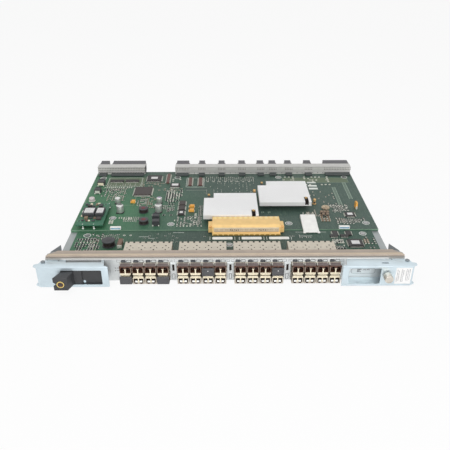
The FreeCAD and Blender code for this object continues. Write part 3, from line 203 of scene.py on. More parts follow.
def board_material(name, greens):
    """Greener at its left end, greyer to the right and towards the rear."""
    finish = Finish(name, greens[0], 0.42, 0.0, Specular_IOR_Level=0.35)
    x = finish.math("DIVIDE", finish.axis("X"), 0.197)
    behind = finish.math("MULTIPLY", finish.math("SUBTRACT", finish.axis("Y"), 0.15), 2.2, clamp=True)
    share = finish.math("ADD", finish.math("ADD", finish.math("MULTIPLY", x, 0.5), 0.5), behind)
    wander = finish.math("MULTIPLY", finish.math("SUBTRACT", finish.noise(9, 3), 0.5), 0.35)
    ground = finish.ramp(finish.math("ADD", share, wander),
                         [(0.05, greens[0]), (0.38, greens[1]), (0.62, greens[2]), (1.0, greens[3])])
    lines = []
    for stretch, scale in (((1, 0.16, 1), 330), ((0.16, 1, 1), 330), ((0.7, 0.1, 1), 620)):
        streak = finish.noise(scale, 1, finish.scaled(*stretch))
        lines.append(finish.ramp(streak, [(0.46, (0, 0, 0)), (0.5, (1, 1, 1)), (0.54, (0, 0, 0))]))
    region = finish.ramp(finish.noise(38, 2), [(0.45, (0, 0, 0)), (0.6, (1, 1, 1))])
    net = finish.mixed(0.5, finish.mixed(region, lines[0], lines[1]), lines[2])
    lit = finish.mixed(finish.math("MULTIPLY", net, 0.34), ground,
                       finish.mixed(0.5, ground, srgb(150, 172, 150)))
    dots = finish.ramp(finish.cells(300), [(0.07, (1, 1, 1)), (0.13, (0, 0, 0))])
    finish.paint(finish.mixed(finish.math("MULTIPLY", dots, 0.45), lit, srgb(165, 172, 150)))
    finish.rough(finish.noise(70), 0.42, 0.58)
    return finish.bump(net, 0.03, 0.3).material


def fabric_gasket(name="gasket_cloth", low=(158, 145, 133), high=(174, 159, 145)):
    """Conductive cloth over foam: a fine plain weave, a little brighter on the ridge."""
    finish = Finish(name, srgb(*low), 0.62, 0.1, Sheen_Weight=0.15, Sheen_Roughness=0.5)
    along = finish.waves(420, "X")
    across = finish.waves(420, "Y")
    weave = finish.math("MULTIPLY", finish.math("ADD", along, across), 0.5)
    patch = finish.ramp(finish.noise(70, 4), [(0.3, srgb(*low)), (0.7, srgb(*high))])
    paler = srgb(*(part + 16 for part in high))
    finish.paint(finish.mixed(finish.math("MULTIPLY", weave, 0.3), patch, paler))
    return finish.bump(weave, 0.06, 0.5).material


def panel_sheet():
    """Panel steel, with painted shade on the bend that tucks under the gasket: darker towards its top."""
    finish = Finish("panel_steel", srgb(206, 208, 209), 0.42, 0.6)
    streaks = finish.noise(1, 4, finish.scaled(60, 2600, 2600))
    # painted shade: the face colour is mixed towards dark grey from 27.9 to 29.2 mm up
    bend = finish.spread(finish.axis("Z"), start=(0.0279, 0.0292))
    face = finish.ramp(streaks, [(0.3, srgb(210, 213, 213)), (0.7, srgb(220, 223, 223))])
    finish.paint(finish.mixed(bend, face, srgb(150, 149, 146)))
    finish.rough(streaks, 0.36, 0.52)
    return finish.bump(streaks, 0.02, 0.4).material


def sink_metal():
    """Milled aluminium with painted shade, darker down between the fins where little light gets, and a
    painted highlight, near white, along the fin tops.
    """
    finish = Finish("sink_aluminium", srgb(236, 236, 236), 0.45, 0.3)
    # painted shade low between the fins, painted highlight at the fin tops
    height = finish.spread(finish.axis("Z"), start=(0.0279, 0.02895))
    finish.paint(finish.ramp(height, [(0.0, srgb(224, 224, 224)), (0.9, srgb(246, 246, 246)),
                                      (1.0, srgb(255, 255, 255))]))
    marks = finish.noise(1, 3, finish.scaled(70, 2400, 2400))
    finish.rough(marks, 0.35, 0.5)
    return finish.bump(marks, 0.02, 0.4).material


METALS = (
    # finish, material, colour, roughness, streaks along, metallic
    ("tray", "tray_steel", (164, 169, 169), 0.45, "Y", 0.6),
    ("bracket", "bracket_steel", (104, 108, 110), 0.45, "Y", 0.6),
    ("cage", "cage_nickel", (200, 192, 177), 0.4, "X", 0.5),
    ("nose", "nose_metal", (196, 192, 184), 0.35, "X", 0.8),
    ("nose_frame", "nose_frame", (178, 170, 158), 0.4, "X", 0.6),
    ("bail", "bail_metal", (214, 206, 188), 0.32, "X", 0.6),
    ("brass_warm", "anchor_brass", (214, 174, 118), 0.4, "Z", 0.4),
    ("brass", "pin_brass", (206, 170, 112), 0.35, "Z", 0.75),
    ("nickel", "screw_nickel", (212, 206, 196), 0.28, "Y", 0.9),
    ("stiffener", "stiffener_steel", (194, 193, 190), 0.42, "X", 0.5),
    ("leads", "solder_leads", (222, 222, 212), 0.35, "Z", 0.3),
    ("can", "can_aluminium", (216, 216, 214), 0.3, "Z", 0.7),
    ("wire", "coil_wire", (52, 44, 42), 0.4, "X", 0.3),
    ("spring", "spring_wire", (88, 86, 84), 0.35, "X", 0.8),
    ("pin", "pivot_pin", (132, 138, 142), 0.5, "Z", 0.4),
    ("screw_steel", "screw_steel", (168, 168, 168), 0.22, "Y", 0.95),
    # painted highlight: a lighter copy of the stiffener steel for bright bands
    ("stiffener_highlight", "stiffener_highlight", (226, 224, 218), 0.4, "X", 0.4),
)
PLASTICS = (
    # finish, material, colour, roughness
    ("roof", "nose_roof", (112, 100, 98), 0.5),
    ("socket", "socket_plastic", (78, 48, 34), 0.55),
    ("sleeve", "sleeve_ceramic", (72, 52, 44), 0.4),
    ("plug", "plug_rubber", (74, 74, 76), 0.6),
    ("black", "slider_plastic", (52, 53, 55), 0.52),
    ("gold", "ring_ink", (214, 190, 112), 0.4),
    ("housing", "housing_grey", (150, 150, 146), 0.5),
    ("module", "module_black", (88, 87, 91), 0.5),
    ("feet", "feet_dark", (60, 66, 66), 0.55),
    ("yellow", "bridge_yellow", (238, 200, 132), 0.5),
    ("white_case", "pale_case", (206, 206, 194), 0.5),
    ("cream", "contact_cream", (232, 222, 196), 0.5),
    ("ferrite", "core_ferrite", (58, 60, 62), 0.5),
    ("chip", "chip_epoxy", (46, 44, 44), 0.55),
    ("chip_brown", "chip_brown", (58, 51, 49), 0.55),
    ("white", "white_plastic", (238, 238, 234), 0.5),
    ("print", "board_ink", (226, 230, 224), 0.6),
    ("label", "label_paper", (224, 223, 222), 0.75),
    ("tantalum", "tantalum_orange", (232, 168, 74), 0.45),
    # painted shade for openings: holes, dots and a shaded end
    ("dark", "opening_dark", (40, 38, 38), 0.7),
    ("blue", "clip_blue", (128, 178, 206), 0.5),
    ("pink", "crystal_shell", (206, 196, 196), 0.4),
    ("red", "coil_red", (98, 30, 38), 0.5),
    ("purple", "band_purple", (140, 104, 160), 0.45),
    ("ink_grey", "ink_grey", (96, 98, 100), 0.6),
    ("ink_dark", "ink_dark", (60, 60, 62), 0.6),
    ("ink_faint", "ink_faint", (138, 140, 143), 0.7),
    # painted shade in the thumbscrews' slot and cross recess
    ("screw_dark", "screw_recess", (92, 84, 76), 0.5),
    ("brown", "brown_case", (120, 96, 82), 0.5),
    ("tan_case", "tan_case", (132, 112, 92), 0.5),
    ("red_case", "red_brown_case", (98, 66, 60), 0.5),
    ("trace", "bare_trace", (146, 164, 148), 0.5),
    # painted shade for hollows, recesses and the insides of cages and slots
    ("hollow", "hollow_dark", (30, 22, 18), 0.8),
    ("lens_grey", "lens_grey", (92, 94, 97), 0.35),
    ("mask_dark", "mask_dark", (52, 72, 64), 0.5),
    ("mask_light", "mask_light", (88, 140, 112), 0.5),
    ("edge_green", "edge_green", (112, 142, 120), 0.6),
    ("olive", "copper_under_mask", (90, 106, 82), 0.5),
    ("orange", "ear_orange", (222, 140, 60), 0.45),
    ("yellow_pale", "yellow_pale", (246, 216, 148), 0.45),
    ("ochre", "ochre_shade", (170, 134, 60), 0.5),
    ("contact_pale", "contact_pale", (214, 198, 172), 0.5),
    ("contact_shade", "contact_shade", (172, 150, 124), 0.5),
    ("slot_shade", "slot_shade", (104, 100, 96), 0.6),
    ("lens_dark", "lens_smoke", (62, 65, 69), 0.3),
    ("lens_light", "lens_clear", (206, 210, 208), 0.2),
)


def build_finishes():
    """Every finish under its short name."""
    greens = [srgb(58, 114, 78), srgb(54, 86, 70), srgb(58, 78, 70), srgb(60, 82, 73)]
    port_greens = [srgb(54, 100, 72), srgb(50, 70, 62), srgb(52, 69, 62), srgb(46, 78, 65)]
    made = {
        "main_mask": board_material("main_board_mask", greens),
        "port_mask": board_material("port_board_mask", port_greens),
        "converter_mask": board_material("converter_mask", [srgb(52, 104, 80)] * 4),
        "cloth": fabric_gasket(),
        "panel": panel_sheet(),
        "zinc": zinc_plate("ejector_zinc", srgb(206, 220, 227)),
        "aluminium": sink_metal(),
        "cloth_ridge": fabric_gasket("ridge_cloth", (176, 160, 141), (188, 173, 152)),
    }
    for key, name, colour, roughness, along, metallic in METALS:
        made[key] = brushed_metal(name, srgb(*colour), roughness, along, metallic)
    for key, name, colour, roughness in PLASTICS:
        made[key] = moulded_plastic(name, srgb(*colour), roughness)
    return made


FINISHES = build_finishes()
NODE_FINISHES = {
    "main_mask": ("main_board",),
    "port_mask": ("port_board",),
    "converter_mask": ("converter_board",),
    "cloth": ("emi_gasket",),
    "panel": ("faceplate", "group_separators"),
    "tray": ("carrier_tray",),
    "zinc": ("ejector_left", "ejector_right", "pivot_bracket_left", "pivot_bracket_right"),
    "bracket": ("end_bracket_left", "end_bracket_right", "board_posts"),
    "cage": [f"port_cages_{index}" for index in GROUPS],
    "nose": [f"transceivers_{row}_{index}" for row in ("upper", "lower") for index in GROUPS],
    "plug": DUST_PLUGS,
    "black": ("power_slider", "slider_track"),
    "gold": ("slider_ring",),
    "nickel": ("thumbscrew_left", "thumbscrew_right", "board_screws"),
    "pin": ("pivot_pins",),
    "aluminium": ("front_heat_sink", "rear_heat_sink"),
    "brass": ("heat_sink_pins",),
    "chip": ("switch_chips", "logic_chips", "control_processor"),
    "stiffener": ("left_stiffener", "right_stiffener"),
    "housing": ("backplane_shells",),
    "module": ("backplane_modules",),
    "feet": ("connector_feet", "relays", "power_coils"),
    "yellow": ("bridge_connector",),
    "cream": ("bridge_contacts",),
    "ferrite": ("converter_core",),
    "leads": ("converter_pins",),
    "tantalum": ("tantalum_capacitors",),
    "can": ("can_capacitors",),
    "pink": ("oscillator",),
    "white": ("jumper_cover", "board_clips"),
    "lens_light": ("led_lenses",),
}
for finish, names in NODE_FINISHES.items():
    for name in names:
        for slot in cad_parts[name].material_slots:
            slot.material = FINISHES[finish]


# ------------------------------------------------------------------ the bench: shaping by hand
def put_down():
    """Nothing selected."""
    bpy.ops.object.select_all(action="DESELECT")


def take_up(*pieces):
    """Select these pieces alone, with the first one active."""
    put_down()
    for piece in pieces:
        piece.select_set(True)
    bpy.context.view_layer.objects.active = pieces[0]


def corners(node):
    """A node's low and high corner, millimetres."""
    return [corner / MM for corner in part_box(node)]


def about(middle, half):
    """The span that reaches as far to either side of a middle."""
    return middle - half, middle + half


def block(x, y, z, finish=None):
    """A block from its three spans, millimetres."""
    put_down()
    spans = (x, y, z)
    bpy.ops.mesh.primitive_cube_add(size=1, location=[(low + high) / 2 * MM for low, high in spans],
                                    scale=[(high - low) * MM for low, high in spans])
    return based(finish)


def rod(at, radius, length, along="Z", sides=20, finish=None):
    """A round bar about its middle point, millimetres."""
    put_down()
    turn = {"X": (0, math.pi / 2, 0), "Y": (math.pi / 2, 0, 0), "Z": (0, 0, 0)}[along]
    bpy.ops.mesh.primitive_cylinder_add(vertices=sides, radius=radius * MM, depth=length * MM,
                                        location=[value * MM for value in at], rotation=turn)
    return based(finish)


def hoop(at, radius, thick, turn=0, upright=False, steps=(20, 6), finish=None):
    """A round ring about its middle point, lying flat or standing on edge, millimetres."""
    put_down()
    bpy.ops.mesh.primitive_torus_add(major_radius=radius * MM, minor_radius=thick * MM,
                                     major_segments=steps[0], minor_segments=steps[1],
                                     rotation=(math.pi / 2 * upright, 0, turn),
                                     location=[value * MM for value in at])
    return based(finish)


def row(first, pitch, count):
    """Places side by side from a first one."""
    return [(first + step * pitch, 0, 0) for step in range(count)]


def based(finish):
    """Settle the piece just made at the frame's origin, in its finish."""
    bpy.ops.object.transform_apply(location=True, rotation=True, scale=True)
    piece = bpy.context.object
    if finish:
        piece.data.materials.append(FINISHES[finish])
    return piece


class Bench:
    """A piece held in edit mode, with its faces chosen by place and by the way they face."""

    def __init__(self, piece):
        self.piece = piece

    def __enter__(self):
        take_up(self.piece)
        bpy.ops.object.mode_set(mode="EDIT")
        bpy.ops.mesh.select_mode(type="FACE")
        bpy.ops.mesh.select_all(action="DESELECT")
        return self

    def __exit__(self, *trouble):
        bpy.ops.object.mode_set(mode="OBJECT")

    def faces(self, facing=None, where=None, least=0.7):
        """Choose faces by the way they face and by their middle, millimetres."""
        bpy.ops.mesh.select_mode(type="FACE")
        mesh = bmesh.from_edit_mesh(self.piece.data)
        for face in mesh.faces:
            fits = facing is None or face.normal.dot(Vector(facing)) > least
            face.select_set(bool(fits and (where is None or where(face.calc_center_median() / MM))))
        mesh.select_flush_mode()
        bmesh.update_edit_mesh(self.piece.data)
        return self

    def edges(self, where):
        """Choose edges by their middle and direction."""
        bpy.ops.mesh.select_mode(type="EDGE")
        mesh = bmesh.from_edit_mesh(self.piece.data)
        for edge in mesh.edges:
            first, second = (corner.co for corner in edge.verts)
            edge.select_set(bool(where((first + second) / 2 / MM, (second - first).normalized())))
        bmesh.update_edit_mesh(self.piece.data)
        return self

    def inset(self, width, depth=0.0, each=False):
        bpy.ops.mesh.inset(thickness=width * MM, depth=depth * MM, use_individual=each)
        return self

    def push(self, x=0, y=0, z=0):
        bpy.ops.mesh.extrude_region_move(TRANSFORM_OT_translate={"value": (x * MM, y * MM, z * MM)})
        return self

    def move(self, x=0, y=0, z=0):
        bpy.ops.transform.translate(value=(x * MM, y * MM, z * MM))
        return self

    def squeeze(self, x=1, y=1, z=1):
        bpy.ops.transform.resize(value=(x, y, z))
        return self

    def soften(self, width, segments=1):
        bpy.ops.mesh.bevel(offset=width * MM, segments=segments, affect="EDGES")
        return self

    def slice(self, at, facing, **settings):
        """Cut the whole piece along a plane through a point, millimetres."""
        bpy.ops.mesh.select_all(action="SELECT")
        bpy.ops.mesh.bisect(plane_co=[value * MM for value in at], plane_no=facing, **settings)
        return self

    def colour(self, finish):
        """Give the chosen faces a finish of their own."""
        material = FINISHES[finish]
        if material.name not in self.piece.data.materials:
            self.piece.data.materials.append(material)
        self.piece.active_material_index = self.piece.data.materials.find(material.name)
        bpy.ops.object.material_slot_assign()
        return self


def applied(piece, kind, **settings):
    """Add one modifier and apply it."""
    take_up(piece)
    modifier = piece.modifiers.new(kind.lower(), kind)
    for name, value in settings.items():
        setattr(modifier, name, value)
    bpy.ops.object.modifier_apply(modifier=modifier.name)
    return piece


def softened(piece, width, segments=2, angle=35):
    """Bevel every edge sharper than an angle."""
    return applied(piece, "BEVEL", width=width * MM, segments=segments, limit_method="ANGLE",
                   angle_limit=math.radians(angle), use_clamp_overlap=True)


def smoothed(piece, angle=40):
    """Shade smoothly but for edges sharper than an angle."""
    take_up(piece)
    bpy.ops.object.shade_smooth_by_angle(angle=math.radians(angle))
    return piece


def discarded(piece):
    """Take a used-up pattern or cutter out of the file."""
    bpy.data.objects.remove(piece, do_unlink=True)


def dished(piece, facing, width, depth=0.0, finish=None):
    """Inset the faces that look one way, sunk or raised by a depth, and colour what they enclose."""
    with Bench(piece) as work:
        work.faces(facing).inset(width, depth)
        if finish:
            work.colour(finish)
    return piece


def stepped(piece, facing, width, finish=None, **way):
    """Inset the faces that look one way, carry what they enclose along, and colour it."""
    with Bench(piece) as work:
        work.faces(facing).inset(width).push(**way)
        if finish:
            work.colour(finish)
    return piece


def tapered(piece, facing, x=1, y=1, z=1):
    """Draw the faces that look one way in or out about their middle."""
    with Bench(piece) as work:
        work.faces(facing).squeeze(x, y, z)
    return piece


def cornered(piece, axis, width, segments):
    """Round the corners that run along one axis."""
    with Bench(piece) as work:
        work.edges(lambda at, way: abs(getattr(way, axis)) > 0.9).soften(width, segments)
    return piece


def cut(piece, *cutters):
    """Cut the cutters out of a piece; the cut faces take the cutters' finish."""
    tool = joined(*cutters)
    applied(piece, "BOOLEAN", object=tool, operation="DIFFERENCE", solver="EXACT", material_mode="TRANSFER")
    discarded(tool)
    return piece


def joined(*pieces):
    """One piece made of several, in their order."""
    if len(pieces) > 1:
        take_up(*pieces)
        bpy.ops.object.join()
    return pieces[0]


def copied(piece, x=0, y=0, z=0, turn=0, size=(1, 1, 1)):
    """A copy with its own mesh, turned and sized about the frame's origin and then moved, millimetres."""
    twin = piece.copy()
    twin.data = piece.data.copy()
    bpy.context.scene.collection.objects.link(twin)
    twin.data.transform(Matrix.Translation((x * MM, y * MM, z * MM)) @ Matrix.Rotation(turn, 4, "Z")
                        @ Matrix.Diagonal((*size, 1)))
    if size[0] * size[1] * size[2] < 0:
        twin.data.flip_normals()
    return twin


def set_out(piece, places):
    """Copies of a piece at each place, joined into one; the pattern itself is used up."""
    copies = [copied(piece, *place) for place in places]
    discarded(piece)
    return joined(*copies)


def merged_copy(name):
    """A copy of a carried-over node, its loose triangles merged into clean faces."""
    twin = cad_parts[name].copy()
    twin.data = twin.data.copy()
    bpy.context.scene.collection.objects.link(twin)
    twin.hide_render = False
    take_up(twin)
    bpy.ops.object.mode_set(mode="EDIT")
    bpy.ops.mesh.select_all(action="SELECT")
    bpy.ops.mesh.remove_doubles(threshold=0.000002)
    bpy.ops.mesh.dissolve_limited(angle_limit=math.radians(0.5))
    bpy.ops.object.mode_set(mode="OBJECT")
    return twin


def recoated(name, finish):
    """A merged copy of a node, all in one finish."""
    twin = merged_copy(name)
    twin.data.materials.clear()
    twin.data.materials.append(FINISHES[finish])
    return twin


def placed(piece, name, body="chassis", replaces=()):
    """Name a finished piece and tell the frame what it rides on and stands for."""
    piece.name = piece.data.name = name
    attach(piece, body)
    if replaces:
        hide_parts(*replaces)
    return piece


# ------------------------------------------------------------------ ports
# ink on the faceplate, front to back; then cages and noses, and how high each row stands
PRINTED = (-0.05, 0.01)
CAGE_BACK, CAGE_FRONT, CAGE_TALL = 45.6, -0.8, 10.2
NOSE_HALF, NOSE_TALL, NOSE_FRONT = 6.7, 8.6, -9.0
DIVIDER_HALF, SLEEVE_X, SOCKET_RISE = 0.6, 3.05, 6.7
UPPER_CAGE, LOWER_CAGE, UPPER_NOSE, LOWER_NOSE = 14.1, 0.9, 15.6, 1.0


def cage_tube():
    """One column's tube: open in front, pierced on top, notched at its rear edge, with painted shade in its
    holes and notches and on a dark block at its rear.
    """
    half = PORT_PITCH / 2 + 0.05
    tube = block((-half, half), (CAGE_FRONT, CAGE_BACK), (0, CAGE_TALL), "cage")
    stepped(tube, FRONT, CAGE_WALL, y=CAGE_BACK - CAGE_FRONT - CAGE_WALL)
    top = CAGE_TALL
    # painted shade: the holes' and notches' walls take the cutters' dark finishes, and the dark block below
    # the notches shows through them
    holes = [rod((x, y, top), radius, 2, sides=12, finish="dark")
             for x, y, radius in ((0, 36.2, 0.95), (-3.5, 31.7, 0.75), (3.5, 31.7, 0.75), (0, 27.5, 0.95),
                                  (-3.5, 21.5, 0.9), (3.5, 21.5, 0.9))]
    notches = [block(about(x, 1.2), (42.6, 46.4), (top - 0.55, top + 1), "hollow") for x in (-3.4, 3.4)]
    cut(tube, *holes, *notches)
    stop = block((-5.6, 5.6), (CAGE_BACK - 4.2, CAGE_BACK - 0.45), (1.2, top - 0.6), "hollow")
    dished(stop, FRONT, 0.6, -0.2)
    return joined(tube, stop)


def cages():
    """Four columns to a group: upper tubes as built, lower ones mirrored, with seams on the roof."""
    tube = cage_tube()
    roof = UPPER_CAGE + CAGE_TALL
    for index, group_x in enumerate(GROUP_XS, 1):
        shells = [copied(tube, group_x + offset, 0, UPPER_CAGE) for offset in COLUMN_OFFSETS]
        shells += [copied(tube, group_x + offset, 0, LOWER_CAGE + CAGE_TALL, size=(1, 1, -1))
                   for offset in COLUMN_OFFSETS]
        seams = [block(about(group_x + side * PORT_PITCH, 0.12), (CAGE_FRONT, CAGE_BACK),
                       (roof - 0.04, roof + 0.06), "cage") for side in (-1, 0, 1)]
        placed(joined(*shells, *seams), f"cage_shells_{index}",
               replaces=(f"port_cages_{index}",))
    discarded(tube)


def transceiver(upper=True):
    """A duplex optical module's nose: brown receptacle, keyed sockets, cream cheeks, divider and bail."""
    # painted shade: a dark block fills the cage behind the nose
    inside = block((-6.2, 6.2), (CAGE_FRONT, 40.8), (0, NOSE_TALL - 1.3), "hollow")
    dished(inside, BACK, 1.0, -0.4)
    shell = block((-NOSE_HALF, NOSE_HALF), (NOSE_FRONT, NOSE_FRONT + 2.4), (0, NOSE_TALL), "socket")
    with Bench(shell) as work:
        work.faces(BACK).push(y=CAGE_FRONT - NOSE_FRONT - 2.4)
        work.faces(None, lambda at: at.y > NOSE_FRONT + 2.5).colour("nose")
    softened(shell, 0.35, 2)
    with Bench(shell) as work:
        if upper:
            work.faces(UP, least=0.9).inset(0.9).colour("roof")
        else:
            work.faces(None).colour("nose_frame")
    half = 2.45 if upper else 2.3
    cutters = [block(about(x, half), (NOSE_FRONT - 1, NOSE_FRONT + 7.4), (0.7, 6.6), "socket")
               for x in (-DIVIDER_HALF - half, DIVIDER_HALF + half)]
    for cutter in cutters:
        with Bench(cutter) as work:
            work.faces(UP).push(z=0.01).squeeze(x=0.57).push(z=1.35)
            # painted shade on the sockets' back walls
            work.faces(BACK).colour("hollow")
    cut(shell, *cutters)
    sleeves = [rod((x, NOSE_FRONT + 5.2, 3.6), 0.8, 4.4, "Y", 12, "sleeve") for x in (-SLEEVE_X, SLEEVE_X)]
    for sleeve in sleeves:
        stepped(sleeve, FRONT, 0.35, y=2)
    divider = block((-DIVIDER_HALF, DIVIDER_HALF), (NOSE_FRONT - 0.35, NOSE_FRONT + 0.6), (0.2, 4.8), "cream")
    with Bench(divider) as work:
        work.faces(UP).push(z=0.9).squeeze(x=2.2)
    cheeks = [tapered(block(about(side * 6.4, 0.3), (NOSE_FRONT - 0.15, CAGE_FRONT), (0.4, 8.0), "bail"),
                      (side, 0, 0), y=0.9, z=0.8) for side in (-1, 1)]
    bail = block((-5.8, 5.8), (NOSE_FRONT - 0.6, NOSE_FRONT + 0.9), (-2.2, 0.5), "cream")
    with Bench(bail) as work:
        work.edges(lambda at, way: at.z < -2.1 and abs(at.x) > 5.7 and abs(way.y) > 0.9).soften(1.5, 3)
        work.faces(FRONT).inset(0.7).push(y=0.6).colour("bail")
    parts = [shell, inside, *sleeves, divider, *cheeks, softened(bail, 0.15, 1)]
    if not upper:
        for x in (-2.5, 2.5):
            latch = block(about(x, 1.5), (NOSE_FRONT - 0.25, NOSE_FRONT + 0.8), (3.9, 6.1), "white")
            dished(latch, FRONT, 0.3, 0.04)
            parts.append(softened(latch, 0.2, 1))
    return joined(*parts)


def transceivers():
    """The modules' noses in both rows; the lower row stands on its head."""
    for rank, level, up in (("upper", UPPER_NOSE, 1), ("lower", LOWER_NOSE + NOSE_TALL, -1)):
        module = transceiver(up > 0)
        for index, group_x in enumerate(GROUP_XS, 1):
            made = [copied(module, group_x + offset, 0, level, size=(1, 1, up)) for offset in COLUMN_OFFSETS]
            placed(joined(*made), f"optics_{rank}_{index}",
                   replaces=(f"transceivers_{rank}_{index}",))
        discarded(module)


def dust_plugs():
    """Moulded plugs with a dished face and two prongs; the upper ones carry a white dot."""
    for node in DUST_PLUGS:
        low, high = corners(node)
        upper = "upper" in node
        x, half, front = (low.x + high.x) / 2, (high.x - low.x) / 2, low.y
        socket = ROW_MIDDLE + (SOCKET_RISE if upper else -SOCKET_RISE)
        body = block(about(x, half), (front, NOSE_FRONT - 0.35), (low.z, high.z), "plug")
        tapered(body, FRONT, x=0.97, z=0.95)
        softened(body, 0.5, 3)
        with Bench(body) as work:
            work.faces(FRONT, lambda at: at.y < front + 0.05).inset(1.2).inset(0.3, -0.3)
        prongs = [block(about(x + side * 3.2, 2.1), (NOSE_FRONT - 0.5, high.y), about(socket, 2.1), "plug")
                  for side in (-1, 1)]
        for prong in prongs:
            tapered(prong, BACK, x=0.8, z=0.8)
        parts = [body, *prongs]
        if upper:
            parts.append(rod((x, front + 0.4, high.z - 3.2), 0.6, 0.5, "Y", 14, "label"))
        placed(smoothed(joined(*parts)), node.replace("dust_plug", "dust_cap"),
               body=node, replaces=(node,))


def port_lights():
    """Light windows over each column: a smoked arch and a clear one in a thin dark rim."""
    patterns = []
    for x, arch, eye, rim in ((-2.8, "lens_dark", "lens_grey", 0.95), (3.2, "ink_grey", "lens_light", 0.45)):
        lens = block((-2.75, 2.75), (-0.45, 1.2), (24.7, 27.9), arch)
        with Bench(lens) as work:
            work.edges(lambda at, way: abs(way.y) > 0.9 and at.z > 27).soften(1.5, 4)
            work.faces(FRONT).inset(rim).push(y=0.22).colour(eye)
        patterns.append((softened(lens, 0.08, 1), x))
    glass = [copied(lens, group_x + offset + x) for group_x in GROUP_XS for offset in COLUMN_OFFSETS
             for lens, x in patterns]
    for lens, _ in patterns:
        discarded(lens)
    placed(joined(*glass), "port_lights", replaces=("led_lenses",))


def panel_marks():
    """Thin printed brackets between the light windows and two rows of dashes by the left ejector."""
    bottom, top, thick = 25.0, 27.9, 0.3
    left, right = GROUP_XS[0] - 31.5, GROUP_XS[-1] + 31.5
    spans = [(left, left + 4.5), (right - 4.5, right)]
    uprights = [left + thick / 2, right - thick / 2]
    for x in BETWEEN_GROUPS:
        spans += [(x - 5.2, x - 1.2), (x + 1.2, x + 5.2)]
        uprights += [x - 1.2, x + 1.2]
    inks = [block(span, PRINTED, (z, z + thick), "ink_grey") for span in spans for z in (bottom, top - thick)]
    inks += [block(about(x, thick / 2), PRINTED, (bottom, top), "ink_grey") for x in uprights]
    inks += [block((x, x + wide), PRINTED, (z, z + 0.9), "ink_grey") for z in (13.0, 16.6)
             for x, wide in ((-125.6, 1.4), (-123.2, 0.8), (-121.8, 0.5))]
    for ink in inks:
        dished(ink, FRONT, 0.04)
    placed(joined(*inks), "panel_marks")


# ------------------------------------------------------------------ panel hardware
def gasket():
    """Cloth-covered foam along the panel's top: a flat rear part and a proud ridge in front."""
    low, high = corners("emi_gasket")
    step = low.y + 4.2
    strip = block((low.x, high.x), (low.y, high.y), (low.z, high.z - 0.5), "cloth")
    with Bench(strip) as work:
        work.slice((0, step, 0), BACK)
        work.slice((0, low.y + 1.6, 0), BACK)
        work.faces(UP, lambda at: low.y + 1.6 < at.y < step).push(z=0.5).squeeze(y=0.7)
        work.faces(UP, lambda at: at.y > step).inset(0.5, -0.25)
        work.faces(None, lambda at: at.y < step and at.z > high.z - 0.6).colour("cloth_ridge")
        for side, corner in ((-1, low.x), (1, high.x)):
            work.slice((corner - side * 0.05, low.y, 0), (side * 12, 4.5, 0), clear_outer=True, use_fill=True)
            work.faces((side * 0.94, 0.35, 0), least=0.9).colour("ink_grey")
    softened(strip, 0.3, 3)
    placed(smoothed(strip), "gasket_strip", replaces=("emi_gasket",))


def separator_insets():
    """Painted shade in the separators' slots, as dark liners, and an outlined plate below each."""
    made = []
    for x in BETWEEN_GROUPS:
        # painted shade: a thin near-black liner in the slot
        liner = block(about(x, 1.25), (-1.1, -0.2), (14.1, 22.3), "hollow")
        stepped(liner, FRONT, 0.2, y=0.4)
        plate = block(about(x, 1.5), (-1.5, -0.9), (2.4, 10.0), "ink_grey")
        stepped(plate, FRONT, 0.45, y=0.08, finish="panel")
        made += [liner, plate]
    placed(joined(*made), "separator_insets")


def sheet_ejectors():
    """The bent ejector plates, copied from their solids with rolled edges that catch the light."""
    for side in ("left", "right"):
        name = f"ejector_{side}"
        plate = recoated(name, "zinc")
        softened(plate, 0.5, 3, 60)
        placed(smoothed(plate, 30), f"{name}_plate", name, (name,))


def hood():
    """The slider's black hood, its own sharp form with softened mould edges."""
    body = recoated("power_slider", "black")
    softened(body, 0.45, 2)
    placed(smoothed(body, 30), "slider_hood", "power_slider", ("power_slider",))
    low, high = corners("slider_ring")
    x, z, front = (low.x + high.x) / 2, (low.z + high.z) / 2, low.y
    radius = (high.x - low.x) / 2
    ring = rod((x, (front + high.y) / 2, z), radius, high.y - front, "Y", 40, "gold")
    with Bench(ring) as work:
        work.faces(FRONT).inset(0.9).push(y=0.25).colour("socket")
        work.faces(FRONT, lambda at: at.y > front + 0.1).inset(1.6).push(y=0.08).colour("black")
    softened(ring, 0.1, 2)
    placed(smoothed(ring), "slider_marker", "power_slider", ("slider_ring",))


def thumbscrew(node, body):
    """A captive screw: knurled head with a crossed face, plain collar and shank."""
    low, high = corners(node)
    x, z = (low.x + high.x) / 2, (low.z + high.z) / 2
    radius = (high.x - low.x) / 2
    front, head_back = low.y, low.y + 8.6
    knurl_front, flutes = front + 0.9, 36
    knurl_middle = (knurl_front + head_back) / 2
    head = rod((x, knurl_middle, z), radius - 0.25, head_back - knurl_front, "Y", flutes * 2, "nickel")
    with Bench(head) as work:
        work.faces(None, lambda at: abs(at.y - knurl_middle) < 0.01
                   and int(round(math.atan2(at.z - z, at.x - x) / math.tau * 2 * flutes + 0.5)) % 2 == 0)
        work.inset(0.04, 0.25, each=True)
        work.faces(FRONT).inset(0.5, 0.25)
        work.faces(FRONT, lambda at: at.y < front + 0.8).inset(0.5, 0.3)
    boss = rod((x, front + 0.6, z), radius * 0.74, 1.2, "Y", 36, "nickel")
    softened(boss, 0.3, 3)
    # painted shade: the slot and cross recess walls take a dark brown
    slot = block(about(x, radius), (front - 1, front + 0.55), about(z, 0.45), "screw_dark")
    cross = block(about(x, 0.45), (front - 1, front + 0.55), about(z, radius), "screw_dark")
    cut(boss, slot, cross)
    collar = rod((x, head_back + 0.5, z), radius * 0.66, 1.0, "Y", 36, "nickel")
    shank = rod((x, (head_back + high.y) / 2, z), 2.0, high.y - head_back, "Y", 24, "nickel")
    dished(shank, BACK, 0.5, 0.4)
    placed(smoothed(joined(head, boss, collar, shank), 30), f"{node}_knurled", body, (node,))


